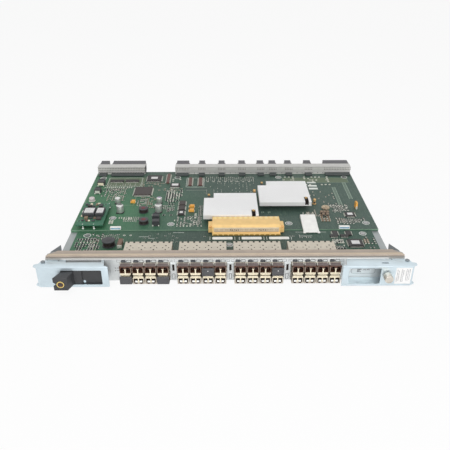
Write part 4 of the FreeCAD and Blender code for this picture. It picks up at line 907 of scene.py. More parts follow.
def ejector_label():
    """A bare paper label with faint rules, on the right ejector's face."""
    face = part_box("ejector_right")[0].y / MM
    paper = block((189.2, 207.0), (face - 0.12, face + 0.02), (4.8, 26.2), "label")
    softened(paper, 0.05, 1)
    rules = []
    for x, top, bottom in ((191.2, 23.6, 8.2), (192.8, 22.4, 8.8), (196.0, 24.4, 7.6), (197.7, 23.0, 8.0),
                           (201.2, 24.4, 9.0), (203.0, 23.8, 9.4), (204.7, 24.2, 10.4)):
        z = top
        while z > bottom:
            long = random.choice((0.7, 1.1, 1.5))
            rules.append(block(about(x, 0.35), (face - 0.15, face - 0.1), (z - long, z), "ink_faint"))
            z -= long + random.choice((0.3, 0.4, 0.6))
    for rule in rules:
        dished(rule, FRONT, 0.05)
    placed(joined(paper, *rules), "ejector_label", "ejector_right")


def recess_marks():
    """Printed outline and two blocks of plain dashes on the panel behind the right window."""
    outline = block((143.6, 171.2), (-0.06, 0.01), (8.3, 15.0), "ink_grey")
    with Bench(outline) as work:
        work.edges(lambda at, way: abs(way.y) > 0.9).soften(2.2, 5)
        work.faces(FRONT).inset(0.35)
        work.faces(FRONT, lambda at: 9 < at.z < 14 and 146 < at.x < 169).push(y=0.03).colour("panel")
    dashes = []
    for x, z, wide in ((150.2, 14.1, 5.0), (150.4, 12.9, 3.6), (150.2, 11.7, 2.4), (150.4, 10.6, 4.6),
                       (157.4, 13.6, 1.4), (159.2, 13.3, 1.2), (161.2, 13.5, 2.0), (163.6, 13.2, 1.0)):
        dashes.append(block((x, x + wide), (-0.1, -0.02), about(z, 0.35), "ink_dark"))
    for dash in dashes:
        dished(dash, FRONT, 0.08)
    placed(joined(outline, *dashes), "recess_marks")


def ejector_rivets():
    """Pivot rivets' staked heads on both ejectors' top flanges, and the detent clip in the left window."""
    for side, name in ((-1, "left"), (1, "right")):
        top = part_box(f"ejector_{name}")[1].z / MM
        heads = []
        for x, y in ((204.0, -3.9), (187.0, -1.4)):
            head = rod((side * x, y, top + 0.1), 1.2 if x > 200 else 0.8, 0.5, sides=20, finish="ink_dark")
            dished(head, UP, 0.35, -0.15, finish="zinc")
            heads.append(softened(head, 0.1, 1))
        placed(joined(*heads), f"flange_rivets_{name}", f"ejector_{name}")
    tongues = [block((x, x + 2.6), (-12.36, -12.22), (low, low + 3.4), "zinc")
               for x, low in ((-162.6, 6.6), (-159.2, 5.8))]
    for tongue in tongues:
        with Bench(tongue) as work:
            work.edges(lambda at, way: abs(way.y) > 0.9).soften(1.0, 4)
            work.faces(FRONT).inset(0.5).push(y=0.06)
    placed(joined(*tongues), "detent_clip", "ejector_left")


# ------------------------------------------------------------------ board parts
def gull_leads(count, pitch, reach, thick, high):
    """A row of bent leads standing out towards -Y from the origin, feet on the board."""
    lead = block((-thick / 2, thick / 2), (-0.2, 0.3), (high - 0.25, high), "leads")
    with Bench(lead) as work:
        for share, drop in ((0.35, 0), (0.15, high - 0.3), (0.5, 0)):
            work.faces(FRONT).push(y=-reach * share, z=-drop)
    return set_out(lead, row(-(count - 1) / 2 * pitch, pitch, count))


def chip(long, deep, high, leads=(0, 0), pitch=1.27, reach=1.4, finish="chip", label=None):
    """A moulded package at the origin: bevelled body, key dot, leads on its Y sides and X sides."""
    body = block((-long / 2, long / 2), (-deep / 2, deep / 2), (0.25, high), finish)
    with Bench(body) as work:
        work.faces(UP).squeeze(x=1 - 0.5 / long, y=1 - 0.5 / deep)
        work.faces(UP).inset(0.25)
    softened(body, 0.12, 1)
    dot = rod((-long / 2 + 1.3, -deep / 2 + 1.3, high - 0.01), 0.5, 0.06, sides=12, finish="ink_grey")
    parts = [body, dot]
    rows = []
    for count, sides in zip(leads, (((0, -deep / 2, 0, 0), (0, deep / 2, 0, math.pi)),
                                    ((-long / 2, 0, 0, -math.pi / 2), (long / 2, 0, 0, math.pi / 2)))):
        if count:
            rows.append(set_out(gull_leads(count, pitch, reach, min(0.4, pitch * 0.5), high * 0.55), sides))
    if label:
        wide, tall = label
        paper = block((-wide / 2, wide / 2), (-tall / 2, tall / 2), (high - 0.02, high + 0.08), "label")
        dished(paper, UP, 0.15)
        parts.append(paper)
    return joined(*parts, *rows)


def board_chips():
    """Packages on the main and the port board, each where its solid stands."""
    main, port = MAIN_TOP, PORT_TOP
    memory = chip(20.5, 6.6, 2.2, leads=(16, 0), pitch=1.2, reach=1.5)
    made = [set_out(memory, [(-161.7, 236, main), (-138.8, 236, main)])]
    for part, x, y, z in (
            (chip(22, 20, 2.6, leads=(16, 14), pitch=1.25, reach=1.2, label=(10, 7)), -106, 244, main),
            (chip(14, 11, 2.4, leads=(12, 0), pitch=1.1, reach=2.2, label=(9.5, 7)), -73, 220, main),
            (chip(13, 12, 2.2, leads=(9, 8), pitch=1.2, reach=1.2, label=(7, 6)), 168, 127, main),
            (chip(18, 16, 2.8, leads=(14, 12), pitch=1.15, reach=1.1, label=(10, 8)), 160, 54.7, port),
            (chip(10, 5, 2.0, leads=(7, 0), reach=1.2), 137, 73.3, port),
            (chip(10, 5, 2.0, leads=(7, 0), reach=1.2), 150, 73.3, port)):
        made.append(set_out(part, [(x, y, z)]))
    for y, looks in ((133, {"label": (4.2, 4.6)}), (147.3, {"finish": "chip_brown"}),
                     (161.6, {"finish": "chip_brown"})):
        driver = chip(8.8, 12, 2.4, leads=(0, 8), pitch=1.3, reach=1.3, **looks)
        made.append(set_out(driver, [(-58.5, y, main)]))
    placed(joined(*made), "board_packages", replaces=("logic_chips",))


def flat_pack():
    """The control processor: a square package with fine leads on all four sides."""
    low, high = corners("control_processor")
    wide = high.x - low.x - 2.6
    part = chip(wide, wide, high.z - MAIN_TOP, leads=(30, 30), pitch=(wide - 2) / 30, reach=1.3,
                finish="chip_brown")
    placed(set_out(part, [((low.x + high.x) / 2, (low.y + high.y) / 2, MAIN_TOP)]), "flat_pack",
           replaces=("control_processor",))


RING_CLEAR = 5.5
SCREWS = [(x, y, MAIN_TOP) for x, y in ((-184.8, 248.6), (-71.2, 249.7), (83.4, 249.7), (184.8, 249.7),
                                        (-148.8, 121), (-70.3, 104), (83.7, 105), (184.8, 105.5))]
SCREWS += [(x, y, PORT_TOP) for x, y in ((-173.6, 78), (174.8, 80), (5.4, 54))]


def board_screws():
    """Pan screws with a cross recess, each inside a printed ring of the board."""
    screw = rod((0, 0, 0.85), 2.7, 1.7, sides=32, finish="screw_steel")
    softened(screw, 0.6, 3)
    # painted shade: the cross recess walls take the dark cutters' finish
    cut(screw, *[block((-x, x), (-y, y), (0.9, 3), "hollow") for x, y in ((1.9, 0.45), (0.45, 1.9))])
    ring = rod((0, 0, 0.06), 4.7, 0.12, sides=40, finish="print")
    stepped(ring, UP, 0.75, z=-0.05, finish="mask_dark")
    washer = rod((0, 0, 0.15), 3.1, 0.3, sides=32, finish="screw_steel")
    dished(washer, UP, 0.3, -0.05)
    joined(screw, ring, washer)
    turns = (0.3, 0.8, 0.1, 0.5, 1.1, 0.2, 0.7, 0.9, 0.4, 0.2, 0.6)
    places = [(x, y, level, turn) for (x, y, level), turn in zip(SCREWS, turns)]
    placed(smoothed(set_out(screw, places)), "board_screw_heads", replaces=("board_screws",))


def can(radius, high, band):
    """An electrolytic can on its square foot: rolled lip and a printed half-moon on top."""
    foot = block((-radius, radius), (-radius, radius), (0, 0.9), "chip")
    with Bench(foot) as work:
        work.edges(lambda at, way: abs(way.z) > 0.9 and at.x > 0).soften(radius * 0.35, 1)
    body = rod((0, 0, high / 2 + 0.3), radius * 0.94, high - 0.6, sides=32, finish="can")
    with Bench(body) as work:
        work.faces(UP).inset(0.35, -0.12).inset(0.3)
    softened(body, 0.18, 2)
    mark = rod((0, 0, high - 0.02), radius * 0.8, 0.05, sides=32, finish=band)
    with Bench(mark) as work:
        work.slice((0, radius * 0.25, 0), BACK, clear_inner=True, use_fill=True)
    return joined(body, foot, mark)


def cans():
    """Four electrolytic cans, two of each size."""
    made = []
    for radius, high, x, y, band in ((5, 10.5, -141.4, 138, "ink_dark"), (5, 10.5, -89.7, 139, "ink_dark"),
                                     (4, 8, -149, 165, "white"), (4, 8, -91, 165, "purple")):
        made.append(set_out(can(radius, high, band), [(x, y, MAIN_TOP)]))
    placed(smoothed(joined(*made)), "aluminium_cans", replaces=("can_capacitors",))


def coil(radius, high, middle):
    """A drum-core coil: two flanges, a wound waist and a coloured eye."""
    drum = rod((0, 0, high / 2), radius * 0.8, high, sides=32, finish="ferrite")
    dished(drum, UP, radius * 0.3, -0.3)
    flanges = [rod((0, 0, z), radius, high * 0.18, sides=32, finish="ferrite")
               for z in (high * 0.09, high * 0.91)]
    for flange in flanges:
        softened(flange, 0.25, 2)
    turns = [rod((0, 0, high * (0.22 + 0.08 * turn)), radius * 0.9, high * 0.07, sides=28, finish="wire")
             for turn in range(8)]
    for turn in turns:
        softened(turn, high * 0.03, 2)
    eye = rod((0, 0, high - 0.1), radius * 0.45, 0.5, sides=24, finish=middle)
    softened(eye, 0.12, 2)
    return joined(drum, *flanges, *turns, eye)


def coils():
    """Two coils on the main board and a larger one on the port board."""
    made = []
    for radius, high, x, y, z, middle in ((6.5, 6, -110, 139, MAIN_TOP, "red"),
                                          (6.5, 6, -106, 107, MAIN_TOP, "red"),
                                          (8, 8, -142, 53.7, PORT_TOP, "ink_dark")):
        made.append(set_out(coil(radius, high, middle), [(x, y, z)]))
    placed(smoothed(joined(*made)), "wound_coils", replaces=("power_coils",))


def corner_tabs(x, y, long, deep):
    """Bright solder tabs at a case's two front corners."""
    front = y - deep / 2
    tabs = [block(about(x + side * long * 0.42, 0.7), (front - 0.9, front + 0.3), (MAIN_TOP, MAIN_TOP + 1.6),
                  "leads") for side in (-1, 1)]
    return [softened(tab, 0.15, 1) for tab in tabs]


def relays():
    """Moulded relays: bevelled case, lid line and bright tabs."""
    made = []
    for x, y, long, deep, high, front in ((-91, 118, 9, 9, 6.4, "ferrite"),
                                          (-89.5, 103.5, 9, 9, 6.4, "ferrite"),
                                          (-183.5, 226, 10, 11, 6, "cream"),
                                          (-183.5, 199, 8.5, 10, 6, "leads")):
        case = block(about(x, long / 2), about(y, deep / 2), (MAIN_TOP, MAIN_TOP + high), "ferrite")
        with Bench(case) as work:
            work.faces(UP).inset(0.3).push(z=-0.15).inset(0.25).push(z=0.2)
            work.faces(FRONT).inset(0.9, -0.1).colour(front)
        made.append(softened(case, 0.2, 2))
        made += corner_tabs(x, y, long, deep)
    placed(joined(*made), "relay_cases", replaces=("relays",))


def tantalums():
    """Orange moulded capacitors, each with a dark band near one end and bright end tabs."""
    made = []
    for x, y, long, deep, high in ((-45, 139, 8, 5, 4), (-45, 151, 8, 5, 4), (-128, 166, 7, 5, 4),
                                   (180.8, 148.5, 3.2, 9, 9)):
        top = MAIN_TOP + high
        body = block(about(x, long / 2 - 0.2), about(y, deep / 2 - 0.2), (MAIN_TOP + 0.2, top), "tantalum")
        tapered(body, UP, x=0.94, y=0.9)
        softened(body, 0.25, 2)
        if long > deep:
            spans = [(about(x - long / 2 + 1.2, 0.5), about(y, deep * 0.42))]
            spans += [(about(x + side * long / 2, 0.35), about(y, deep * 0.3)) for side in (-1, 1)]
        else:
            spans = [(about(x, long * 0.42), about(y + deep / 2 - 1.2, 0.5))]
            spans += [(about(x, long * 0.3), about(y + side * deep / 2, 0.35)) for side in (-1, 1)]
        band = block(*spans[0], (top - 0.02, top + 0.05), "ink_dark")
        dished(band, UP, 0.1)
        ends = [block(*span, (MAIN_TOP, MAIN_TOP + high * 0.45), "leads") for span in spans[1:]]
        made += [body, band] + [softened(end, 0.1, 1) for end in ends]
    placed(joined(*made), "tantalum_blocks", replaces=("tantalum_capacitors",))


def filters():
    """A wound ring choke with its tan blocks, and the port board's fuse holder."""
    x, y, radius, windings = 138.5, 146, 3.6, 14
    made = [hoop((x, y, MAIN_TOP + 1.7), radius, 1.5, steps=(36, 10), finish="tan_case")]
    for winding in range(windings):
        angle = winding / windings * math.tau
        made.append(hoop((x + radius * math.cos(angle), y + radius * math.sin(angle), MAIN_TOP + 1.8),
                         1.65, 0.35, angle, True, (12, 6), "contact_pale"))
    for x, y in ((130.5, 131), (134.6, 131), (138.7, 131), (132, 124.6), (137.4, 124.4)):
        body = block(about(x, 1.7), about(y, 2.4), (MAIN_TOP + 0.3, MAIN_TOP + 4.2), "tan_case")
        with Bench(body) as work:
            work.faces(UP).inset(0.5, -0.15)
            work.faces(FRONT).inset(0.5, 0.1).colour("ferrite")
        made.append(softened(body, 0.3, 2))
    fuse = block((-130.5, -125.5), (47.5, 60.5), (PORT_TOP, PORT_TOP + 6), "brown")
    with Bench(fuse) as work:
        work.faces(UP).inset(0.6).push(z=-0.6)
        work.faces(FRONT).inset(0.5, -0.3)
    caps = [block((-130.8, -125.2), about(y, 1.1), (PORT_TOP, PORT_TOP + 4.6), "leads") for y in (47.6, 60.4)]
    made += [softened(fuse, 0.25, 2), *[softened(cap, 0.25, 2) for cap in caps]]
    placed(smoothed(joined(*made)), "filter_parts")


def crystal():
    """The oscillator's drawn metal shell on its base flange."""
    x, y = -186.6, 172
    shell = rod((x, y, MAIN_TOP + 2.7), 3.9, 4.6, sides=32, finish="pink")
    dished(shell, UP, 0.5, 0.15)
    softened(shell, 0.6, 3)
    flange = rod((x, y, MAIN_TOP + 0.3), 4.5, 0.6, sides=32, finish="leads")
    placed(smoothed(joined(shell, softened(flange, 0.15, 2))), "crystal_shell",
           replaces=("oscillator",))


# ------------------------------------------------------------------ cooling and converter
# x, y, top
SINK_PINS = ((-21.5, 161.1, 30.4), (37.7, 114.6, 30.4), (54.1, 199.9, 30.4), (111.7, 151, 30.4))
SINK_ANCHORS = ((42.3, 178, 29), (125.3, 160, 23))


def sink_fixings():
    """Spring pins of the heat sinks, brass heads over wound springs, and the stout corner anchors."""
    made = []
    for x, y, tall in SINK_PINS:
        head = rod((x, y, tall - 0.8), 1.7, 1.6, sides=24, finish="brass")
        dished(head, UP, 0.55, -0.3)
        stem = rod((x, y, (MAIN_TOP + tall) / 2), 0.8, tall - MAIN_TOP - 0.6, sides=16, finish="screw_steel")
        dished(stem, DOWN, 0.2, -0.1)
        turns = [hoop((x, y, 24.6 + step * 0.72), 1.35, 0.24, finish="spring") for step in range(6)]
        made += [softened(head, 0.2, 2), stem, *turns]
    for x, y, tall in SINK_ANCHORS:
        cap = rod((x, y, tall - 1.9), 2.0, 3.8, sides=24, finish="brass_warm")
        dished(cap, UP, 0.7, -0.5)
        post = rod((x, y, (MAIN_TOP + tall) / 2 - 1.5), 1.3, tall - MAIN_TOP - 3, sides=24, finish="spring")
        dished(post, DOWN, 0.2, -0.05)
        collar = rod((x, y, MAIN_TOP + 0.6), 2.6, 1.2, sides=24, finish="brass_warm")
        made += [softened(cap, 0.3, 2), post, softened(collar, 0.25, 2)]
    placed(smoothed(joined(*made)), "sink_spring_pins", replaces=("heat_sink_pins",))


def fins():
    """The milled sinks with softened edges, and painted shade in the open slots for their pins: a dark liner,
    floor and side walls.
    """
    for name, (x, y, _) in (("front_heat_sink", SINK_PINS[1]), ("rear_heat_sink", SINK_PINS[3])):
        sink = recoated(name, "aluminium")
        softened(sink, 0.14, 1, 50)
        front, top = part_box(name)[0].y / MM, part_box(name)[1].z / MM
        # painted shade: a dark liner, floor and side walls fill the slot, where the pin sits in shade
        liner = block(about(x, 2.45), about(y, 3.45), (22.7, top - 0.05), "hollow")
        stepped(liner, UP, 0.15, z=22.9 - top)
        floor = block(about(x, 2.4), (front + 0.3, y - 3.5), (24.2, 24.5), "hollow")
        tapered(floor, UP, x=0.96)
        cheeks = [block(about(x + side * 2.35, 0.1), (front + 0.6, y - 3.5), (24.2, top - 0.4), "slot_shade")
                  for side in (-1, 1)]
        for cheek in cheeks:
            tapered(cheek, UP, y=0.98)
        placed(joined(sink, liner, floor, *cheeks), name.replace("_heat", "") + "_fins",
               replaces=(name,))


def converter():
    """The power converter: two labelled flat cores, pads, small parts and its four standing pins."""
    board = corners("converter_board")
    top = board[1].z
    cores, labels = [], []
    for low_x, high_x, paper in ((-186.5, -171.0, (-184.6, -172.4)), (-169.8, -159.2, (-168.6, -160.2))):
        core = block((low_x, high_x), (112.0, 131.0), (top, top + 4.4), "ferrite")
        dished(core, UP, 0.9, 0.35)
        cores.append(softened(core, 0.3, 2))
        label = block(paper, (115.2, 128.2), (top + 4.7, top + 4.8), "label")
        dished(label, UP, 0.3)
        labels.append(label)
        printed = (top + 4.78, top + 4.85)
        labels += [block(about(paper[0] + 2.2 + dash, 0.6), (y, y + 0.7), printed, "ink_faint")
                   for dash in (0, 2, 4) for y in (118, 121, 124)]
    small = []
    for x, y, long, deep, high, finish in (
            (-187, 114, 2.4, 3.6, 1.4, "cream"), (-180.5, 108, 4.6, 5.5, 2.2, "tan_case"),
            (-174.5, 108, 4.0, 3.0, 1.6, "ferrite"), (-169.4, 108, 3.2, 3.4, 1.4, "brown"),
            (-163.6, 106, 6.0, 6.4, 2.4, "chip_brown"), (-184, 102, 3.0, 2.4, 1.2, "ferrite"),
            (-178.4, 101.5, 2.6, 3.6, 1.4, "red_case"), (-175.3, 100.8, 2.4, 2.2, 1.4, "cream"),
            (-170, 101, 4.2, 2.4, 1.2, "ferrite"), (-187.4, 146.5, 3.2, 3.4, 1.6, "ferrite"),
            (-181, 146.5, 3.0, 3.4, 1.6, "cream"), (-182.6, 141.5, 5.0, 3.6, 2.2, "chip_brown"),
            (-177.3, 140.6, 3.6, 3.6, 1.4, "ferrite"), (-173.9, 145.8, 2.2, 5.6, 1.6, "tan_case"),
            (-171.2, 148.4, 3.6, 2.4, 1.4, "cream"), (-167.6, 142, 5.0, 6.0, 2.4, "ferrite"),
            (-184.4, 135.5, 6.4, 2.4, 1.6, "chip_brown"), (-166, 135.3, 6.0, 2.6, 1.6, "brown"),
            (-188, 126, 2.0, 5.0, 1.2, "leads"), (-188, 134, 2.0, 3.0, 1.2, "ferrite")):
        part = block(about(x, long / 2), about(y, deep / 2), (top, top + high), finish)
        dished(part, UP, 0.25, 0.05)
        small.append(softened(part, 0.12, 1))
    holes = []
    # painted shade: each hole's dark centre inside a pale ring
    for x, y in ((-188.0, 101.0), (-162.2, 148.4)):
        hole = rod((x, y, top + 0.02), 2.6, 0.08, sides=28, finish="mask_light")
        dished(hole, UP, 1.1, -0.02, finish="hollow")
        holes.append(hole)
    placed(joined(*cores, *labels, *small, *holes), "converter_parts",
           replaces=("converter_core",))
    made = []
    for x, y in ((-181.9, 92.6), (-167.9, 92.6), (-189, 150.6), (-158, 150.6)):
        pin = rod((x, y, (MAIN_TOP + top) / 2), 0.7, top - MAIN_TOP + 0.4, sides=16, finish="print")
        dished(pin, UP, 0.25, 0.1)
        collar = rod((x, y, MAIN_TOP + 0.6), 1.3, 1.2, sides=20, finish="white")
        made += [pin, softened(collar, 0.25, 2)]
    placed(smoothed(joined(*made)), "converter_standoffs", replaces=("converter_pins",))


# ------------------------------------------------------------------ connectors
# the windows stand a little closer than the scallops, and there are as many
SCALLOP_PITCH, WINDOW_PITCH, SCALLOPS = 6.6, 6.3, 13


def bridge():
    """The bridge connector: yellow housing with eyes and scallops, and a pale comb with dark contacts."""
    body = recoated("bridge_connector", "yellow")
    softened(body, 0.25, 2, 50)
    parts = [body]
    for x in (-18.4, 72.4):
        eye = rod((x, 82.6, 23.4), 1.8, 0.6, sides=24, finish="orange")
        dished(eye, UP, 0.6, -0.25, finish="brass")
        parts.append(eye)
    scallop = rod((0, 99.0, 26.95), 2.5, 0.1, sides=24, finish="yellow_pale")
    dished(scallop, UP, 0.7, 0.02)
    parts.append(set_out(scallop, row(-12.7, SCALLOP_PITCH, SCALLOPS)))
    rim = block((-2.4, 2.4), (101.0, 102.95), (26.8, 27.0), "cream")
    dished(rim, UP, 0.3, -0.05)
    parts.append(set_out(rim, row(-12.7, SCALLOP_PITCH, SCALLOPS)))
    foot = block((-2.6, 2.6), (76.3, 76.9), (14.3, 15.9), "ochre")
    with Bench(foot) as work:
        work.edges(lambda at, way: abs(way.y) > 0.9 and at.z > 15).soften(1.2, 3)
    parts.append(set_out(foot, row(-12.2, SCALLOP_PITCH, SCALLOPS)))
    placed(smoothed(joined(*parts), 30), "bridge_shell", replaces=("bridge_connector",))
    face = corners("bridge_contacts")
    left, right, front = face[0].x, face[1].x, face[0].y
    band = block((left, right), (front, face[1].y), (face[0].z, face[1].z), "contact_pale")
    dished(band, FRONT, 0.4, -0.1)
    made = [softened(band, 0.1, 1)]
    for z, finish in ((19.0, "contact_shade"), (23.9, "cream")):
        made.append(block((left + 0.6, right - 0.6), (front - 0.06, front + 0.3), about(z, 0.3), finish))
    window = block((-2.1, 2.1), (front - 0.1, front + 0.3), (20.6, 22.2), "contact_shade")
    dished(window, FRONT, 0.35, -0.05, finish="contact_pale")
    made.append(set_out(window, row(-10.6, WINDOW_PITCH, SCALLOPS)))
    dark = block((-0.6, 0.6), (front - 0.14, front), (20.4, 21.6), "ink_dark")
    dished(dark, FRONT, 0.15)
    made.append(set_out(dark, [(x, 0, dz) for x, dz in ((7, 0.4), (9.2, 0), (12.2, 0.5), (14.4, 0), (17, 0.3),
                                                         (43, 0.4), (45.4, 0), (48.4, 0.4), (51, 0.1))]))
    placed(joined(*made), "bridge_comb", replaces=("bridge_contacts",))


WAFER_PITCH, SLOT_PITCH = 2.4, 2.5
# low x, high x
MODULE_SPANS = ((-193.5, -181), (-174.5, -124), (-74, -55), (-39, -30), (-8.4, 1.1), (23, 33), (52, 62),
                (71, 81), (96, 105.5), (126, 136.5), (157, 195.5))


def backplane():
    """Rear connector modules: wafers between slits, grey housings with ribs, dark feet with clips."""
    modules, housings, feet = [], [], []
    for low, high in MODULE_SPANS:
        body = block((low, high), (275.4, 289.0), (15.4, 27.4), "module")
        with Bench(body) as work:
            work.faces(BACK).inset(0.8).push(y=-3.5)
            work.faces(UP).inset(0.7, -0.35)
        modules.append(softened(body, 0.2, 1))
        wafer = block((-0.35, 0.35), (286.2, 288.6), (17, 26), "housing")
        tapered(wafer, BACK, x=0.5, z=0.95)
        count = max(2, int((high - low - 3) / WAFER_PITCH))
        first = (low + high) / 2 - (count - 1) * WAFER_PITCH / 2
        modules.append(set_out(wafer, row(first, WAFER_PITCH, count)))
        housing = block((low - 1.4, high + 1.4), (264.3, 282.9), (15.4, 25.7), "housing")
        dished(housing, UP, 0.6, -0.2)
        housings.append(softened(housing, 0.2, 1))
        foot = block((low, high), (253.6, 262.6), (15.3, 18.1), "feet")
        with Bench(foot) as work:
            work.faces(FRONT).squeeze(x=0.98, z=0.6)
            work.faces(UP).inset(0.5, -0.2)
        feet.append(softened(foot, 0.2, 1))
    placed(joined(*modules), "rear_modules", replaces=("backplane_modules",))
    placed(joined(*housings), "rear_housings", replaces=("backplane_shells",))
    placed(joined(*feet), "rear_feet", replaces=("connector_feet",))


def stiffener_slots():
    """Slot rows in the stiffeners' walls, dots at the wall's foot and the left one's dark end, as painted
    shade, with bands of painted highlight along the walls.
    """
    slot = block((-0.75, 0.75), (262.93, 263.03), (-0.5, 0.5), "slot_shade")
    dished(slot, FRONT, 0.12)
    places = [(x, 0, z) for x, _, _ in row(-193.4, SLOT_PITCH, 29) for z in (25.2, 22.4, 18.4)]
    for low, high in MODULE_SPANS[2:]:
        count = max(4, int((high - low + 4) / SLOT_PITCH))
        start = (low + high) / 2 - (count - 1) * SLOT_PITCH / 2
        places += [(x, 0, z) for x, _, _ in row(start, SLOT_PITCH, count) for z in (25.0, 22.6)]
    placed(set_out(slot, places), "stiffener_slots")
    dot = rod((0, 262.97, 17.0), 0.6, 0.1, "Y", 10, "dark")
    dished(dot, FRONT, 0.12)
    dots = set_out(dot, [(x, 0, 0) for x in range(-70, 195, 8)])
    # painted highlight: bands of the lighter steel along both walls
    bands = [block((low, high), (262.9, 263.02), (z, z + tall), finish)
             for low, high in ((-195.3, -122.5), (-75.4, 196.4))
             for z, tall, finish in ((15.6, 0.8, "stiffener_highlight"), (23.6, 0.35, "stiffener_highlight"))]
    for band in bands:
        dished(band, FRONT, 0.1)
    end = block((-122.35, -122.1), (263.2, 274.8), (15.6, 27.0), "dark")
    dished(end, (1, 0, 0), 0.3, -0.05)
    placed(joined(dots, *bands, end), "stiffener_trim")


def cover_and_clips():
    """The white jumper cover, its front dropped and eared, and the low clips with blue inserts."""
    low, high = corners("jumper_cover")
    cover = block((low.x, high.x), (low.y + 3, high.y), (PORT_TOP + 0.6, high.z), "white")
    with Bench(cover) as work:
        work.faces(FRONT).squeeze(z=0.25).move(z=-1.9)
        work.faces(UP).inset(0.6, 0.12)
        work.faces(DOWN).inset(0.8, -0.4)
    ears = [block(about(x, 1.6), (low.y + 2.2, low.y + 6.0), (PORT_TOP + 0.3, PORT_TOP + 1.5), "white")
            for x in (low.x + 1.2, high.x - 0.6)]
    ears = [softened(ear, 0.4, 2) for ear in ears]
    placed(smoothed(joined(softened(cover, 0.35, 3), *ears)), "jumper_lid",
           replaces=("jumper_cover",))
    made = []
    for x in (-140, 153.5):
        body = block(about(x, 6.8), (89.7, 93.6), (MAIN_TOP, 18.6), "white")
        with Bench(body) as work:
            work.faces(FRONT).inset(0.7).push(y=0.5).colour("blue")
            work.faces(UP).inset(0.5, -0.15)
        feet = block(about(x, 5.6), (93.6, 97.6), (MAIN_TOP, 16.4), "white")
        dished(feet, UP, 1.2, -0.5, finish="blue")
        made += [softened(body, 0.3, 2), softened(feet, 0.3, 2)]
    placed(smoothed(joined(*made)), "mezzanine_clips", replaces=("board_clips",))


# ------------------------------------------------------------------ small parts and printing
CHIP_PARTS = {
    # kind: long, deep, high, finish
    "resistor": (1.7, 0.95, 0.5, "ferrite"),
    "capacitor": (1.9, 1.2, 0.9, "brown"),
    "cream": (2.1, 1.3, 1.1, "white_case"),
    "diode": (2.8, 1.7, 1.3, "ferrite"),
    "tan": (3.2, 2.2, 1.6, "tan_case"),
}


def small_part(long, deep, high, finish):
    """A chip part at the origin: a body between two soldered ends."""
    body = block((-long / 2, long / 2), (-deep / 2, deep / 2), (0.05, high), finish)
    tapered(body, UP, x=0.94, y=0.9)
    ends = [block(about(side * long / 2, 0.28), (-deep / 2 - 0.03, deep / 2 + 0.03),
                  (0, high + 0.02), "leads") for side in (-1, 1)]
    for side, end in zip((-1, 1), ends):
        tapered(end, (side, 0, 0), y=0.85, z=0.7)
    return joined(body, *ends)


